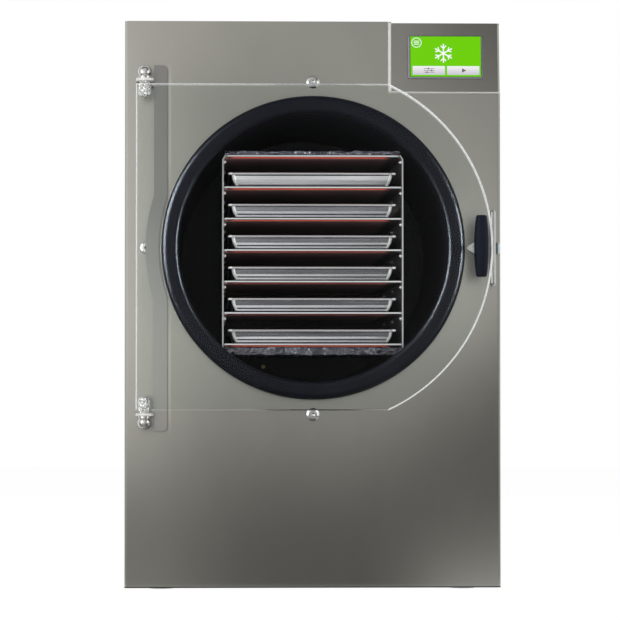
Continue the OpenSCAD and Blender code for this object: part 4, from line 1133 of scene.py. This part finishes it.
EYE = Vector((-0.131, FRONT - 4.279, 0.284))
TONE_TOP = 780


def tone(x, z):
    """Grey, 0..255, meant for the brushed front at x, z in mm: lighter above and at the left.

    z is TONE_TOP at the cabinet's top. The dark part reaches higher at the right, and the low right
    corner is lighter again.
    """
    right = smooth(50, 260, x)
    high = 141 + 20 * smooth(-20, -250, x) - 14 * smooth(200, 240, x)
    lower = smooth(760, 700, z)
    high += lower * (34 * smooth(-215, -240, x) - 28 * smooth(-225, -200, x) * smooth(40, -90, x))
    high += 34 * smooth(-225, -190, x) * smooth(0, -90, x) * smooth(420, 340, z) * smooth(255, 325, z)
    high += 17 * smooth(40, 110, x) * smooth(270, 215, x) * smooth(600, 500, z)
    high -= 18 * smooth(-225, -205, x) * smooth(-110, -160, x) * smooth(740, 705, z) * smooth(560, 640, z)
    high += 56 * smooth(165, 205, x) * smooth(285, 235, x) * smooth(540, 480, z)
    high -= (28 + 36 * smooth(120, 215, x)) * smooth(90, 120, x) * smooth(760, 880, z)
    low = 63 + 36 * smooth(-60, -250, x) + 74 * smooth(60, 240, x) * smooth(120, -10, z)
    low += 14 * smooth(50, 0, z)
    middle = 183 + 168 * right
    half = 62 - 8 * right
    return low + (high - low) * smooth(middle - half, middle + half, z)


def card_level(x, y, z):
    """Light of the front card's point that the front reflects to the eye in the wanted tone."""
    share = (FRONT - EYE.y) / (FRONT - EYE.y + FRONT - y)
    px = (EYE.x + (x - EYE.x) * share) / MM
    pz = (EYE.z + (z - EYE.z) * share - TOP) / MM + TONE_TOP
    return linear(*[tone(px, pz)] * 3)[0] / STAINLESS[1]


def reflector(name, rows, level):
    """An emissive sheet seen only in reflections: rows of (point, level argument pairs)."""
    nx = len(rows[0])
    verts = [p for row in rows for p, _ in row]
    levels = [level(*at) for row in rows for _, at in row]
    faces = []
    for k in range(len(rows) - 1):
        for i in range(nx - 1):
            a = k * nx + i
            faces.append((a, a + 1, a + nx + 1, a + nx))
    ob = mesh_object(name, verts, faces)
    ob.data.attributes.new("level", "FLOAT", "POINT").data.foreach_set("value", levels)
    mat = bpy.data.materials.new(name)
    m = Nodes(mat, "ShaderNodeOutputMaterial")
    glow = m.node("ShaderNodeEmission")
    m.feed(m.node("ShaderNodeAttribute", attribute_name="level").outputs["Fac"], glow.inputs["Strength"])
    m.show(glow.outputs[0])
    ob.data.materials.append(mat)
    ob.visible_camera = False
    ob.visible_transmission = False
    ob.visible_diffuse = False
    ob.visible_shadow = False


def front_card():
    """It runs out along the floor from the cabinet's foot, stands up, and leans back as a canopy."""
    path = [(-0.01, 0.003), (-0.2, 0.003), (-0.35, 0.003), (-0.5, 0.02), (-0.6, 0.08)]
    path += [(-0.64, 0.15 + 0.04 * i) for i in range(32)]
    nx, half = 62, 0.62
    rows = []
    for y, z in path:
        points = [(half * (2 * i / nx - 1), FRONT + y, z) for i in range(nx + 1)]
        rows.append([(p, p) for p in points])
    reflector("front_card", rows, card_level)
    rows = []
    for y, z, light in ((-0.64, 1.40, 0.5), (-0.5, 1.55, 0.3), (-0.3, 1.62, 0.22), (0.1, 1.64, 0.22)):
        rows.append([((x, FRONT + y, z), (light,)) for x in (-1.0, 0, 1.0)])
    reflector("canopy", rows, lambda light: light)


def side_card(name, side, middle, half, bright):
    """An upright screen beside the front, with one brighter strip down it and a dark apron.

    middle and half are the strip's place and half width, in degrees from straight ahead.
    """
    n, r, dim, ease = 60, 1.15, 0.3, 3
    near, far = 34, 102
    # share of the radius, and height: the apron and then the wall
    path = [(0.3, 0.003), (0.7, 0.003), (1, 0.02)]
    path += [(1, z) for z in (0.12, 0.3, 0.6, 0.9, 1.2, 1.45, 1.7)]
    rows = []
    for k, z in path:
        row = []
        for i in range(n + 1):
            angle = near + (far - near) * i / n
            c, s = turn(angle)
            row.append(((side * k * r * s, FRONT - k * r * c, z), (angle, z)))
        rows.append(row)

    def level(angle, z):
        across = smooth(middle - half - ease, middle - half + ease, angle)
        across *= smooth(middle + half + ease, middle + half - ease, angle)
        return dim + (bright - dim) * across * smooth(0.0, 0.35, z) * smooth(1.7, 1.2, z)

    reflector(name, rows, level)


def sheen(name, at, size, power, pieces, color=(1, 1, 1), diffuse=False):
    """A strip light on a few pieces alone, for their reflections or, if diffuse, for their colour.

    at gives its Y from the front's.
    """
    x, y, z = at
    ob = softbox(name, (x, FRONT + y, z), (0, FRONT, AXIS_Z), size, power, color)
    ob.visible_camera = False
    ob.visible_diffuse = diffuse
    ob.visible_glossy = not diffuse
    ob.visible_transmission = False
    group = bpy.data.collections.new(name)
    for item in pieces:
        group.objects.link(item)
    ob.light_linking.receiver_collection = group


def looks(*names):
    """The looks' pieces that stand for CAD nodes."""
    return [bpy.data.objects["looks_" + name] for name in names]


front_card()
side_card("left_card", -1, 66, 22, 1.0)
side_card("right_card", 1, 70, 12, 1.0)

RUBBER = [NODES["chamber_gasket"]]
COOL = (0.80, 0.88, 1.0)
FOIL = looks("foil_top", "foil_bottom")
RACK = looks(*TRAYS, "rack_screws") + FOIL
BRIGHT = looks("chamber_bolts", "hinge_nuts") + [NODES["door_bushes"]]
sheen("rubber_left", (-0.92, -0.50, 0.68), (0.85, 0.75), 100, RUBBER, COOL)
sheen("rubber_right", (0.88, -0.56, 0.55), (0.42, 0.5), 46, RUBBER, COOL)
for side, sign in (("left", -1), ("right", 1)):
    sheen("metal_" + side, (sign * 0.60, -0.555, 0.42), (0.22, 0.84), 2.0, RACK)
for side, x in (("left", -0.75), ("right", 0.50)):
    sheen("bright_" + side, (x, -0.555, 0.5), (0.35, 0.8), 1.3, BRIGHT)
sheen("bright_low", (-0.1, -0.5, 0.05), (1.1, 0.3), 0.25, BRIGHT)
sheen("band_low", (0, -0.30, 0.02), (0.9, 0.12), 0.34, looks(*TRAYS[:3]))
sheen("band_high", (0, -0.42, 0.02), (0.9, 0.12), 0.34, looks(*TRAYS[3:]))
sheen("foil_low", (0, -0.47, 0.02), (0.9, 0.14), 0.55, FOIL)
sheen("tray_top", (0, -0.5, 0.31), (0.9, 0.2), 0.07, looks(TRAYS[-1]))
sheen("shelf_front", (0, -0.56, 0.50), (0.9, 0.35), 0.22, looks(*SHELVES))
sheen("chamber_glow", (0, -1.0, 0.45), (0.5, 0.4), 4.0, [NODES["chamber"]], diffuse=True)
sheen("heater_glow", (0, -1.0, 0.36), (0.6, 0.2), 3.5, looks(*HEATERS), diffuse=True)

camera = bpy.data.cameras.new("camera")
camera.lens = 181.3
camera.sensor_width = 36
eye = bpy.data.objects.new("camera", camera)
bpy.context.scene.collection.objects.link(eye)
eye.location = EYE
aim(eye, (-0.004, FRONT, 0.3833))
bpy.context.scene.camera = eye
bpy.context.scene.view_settings.view_transform = "Standard"
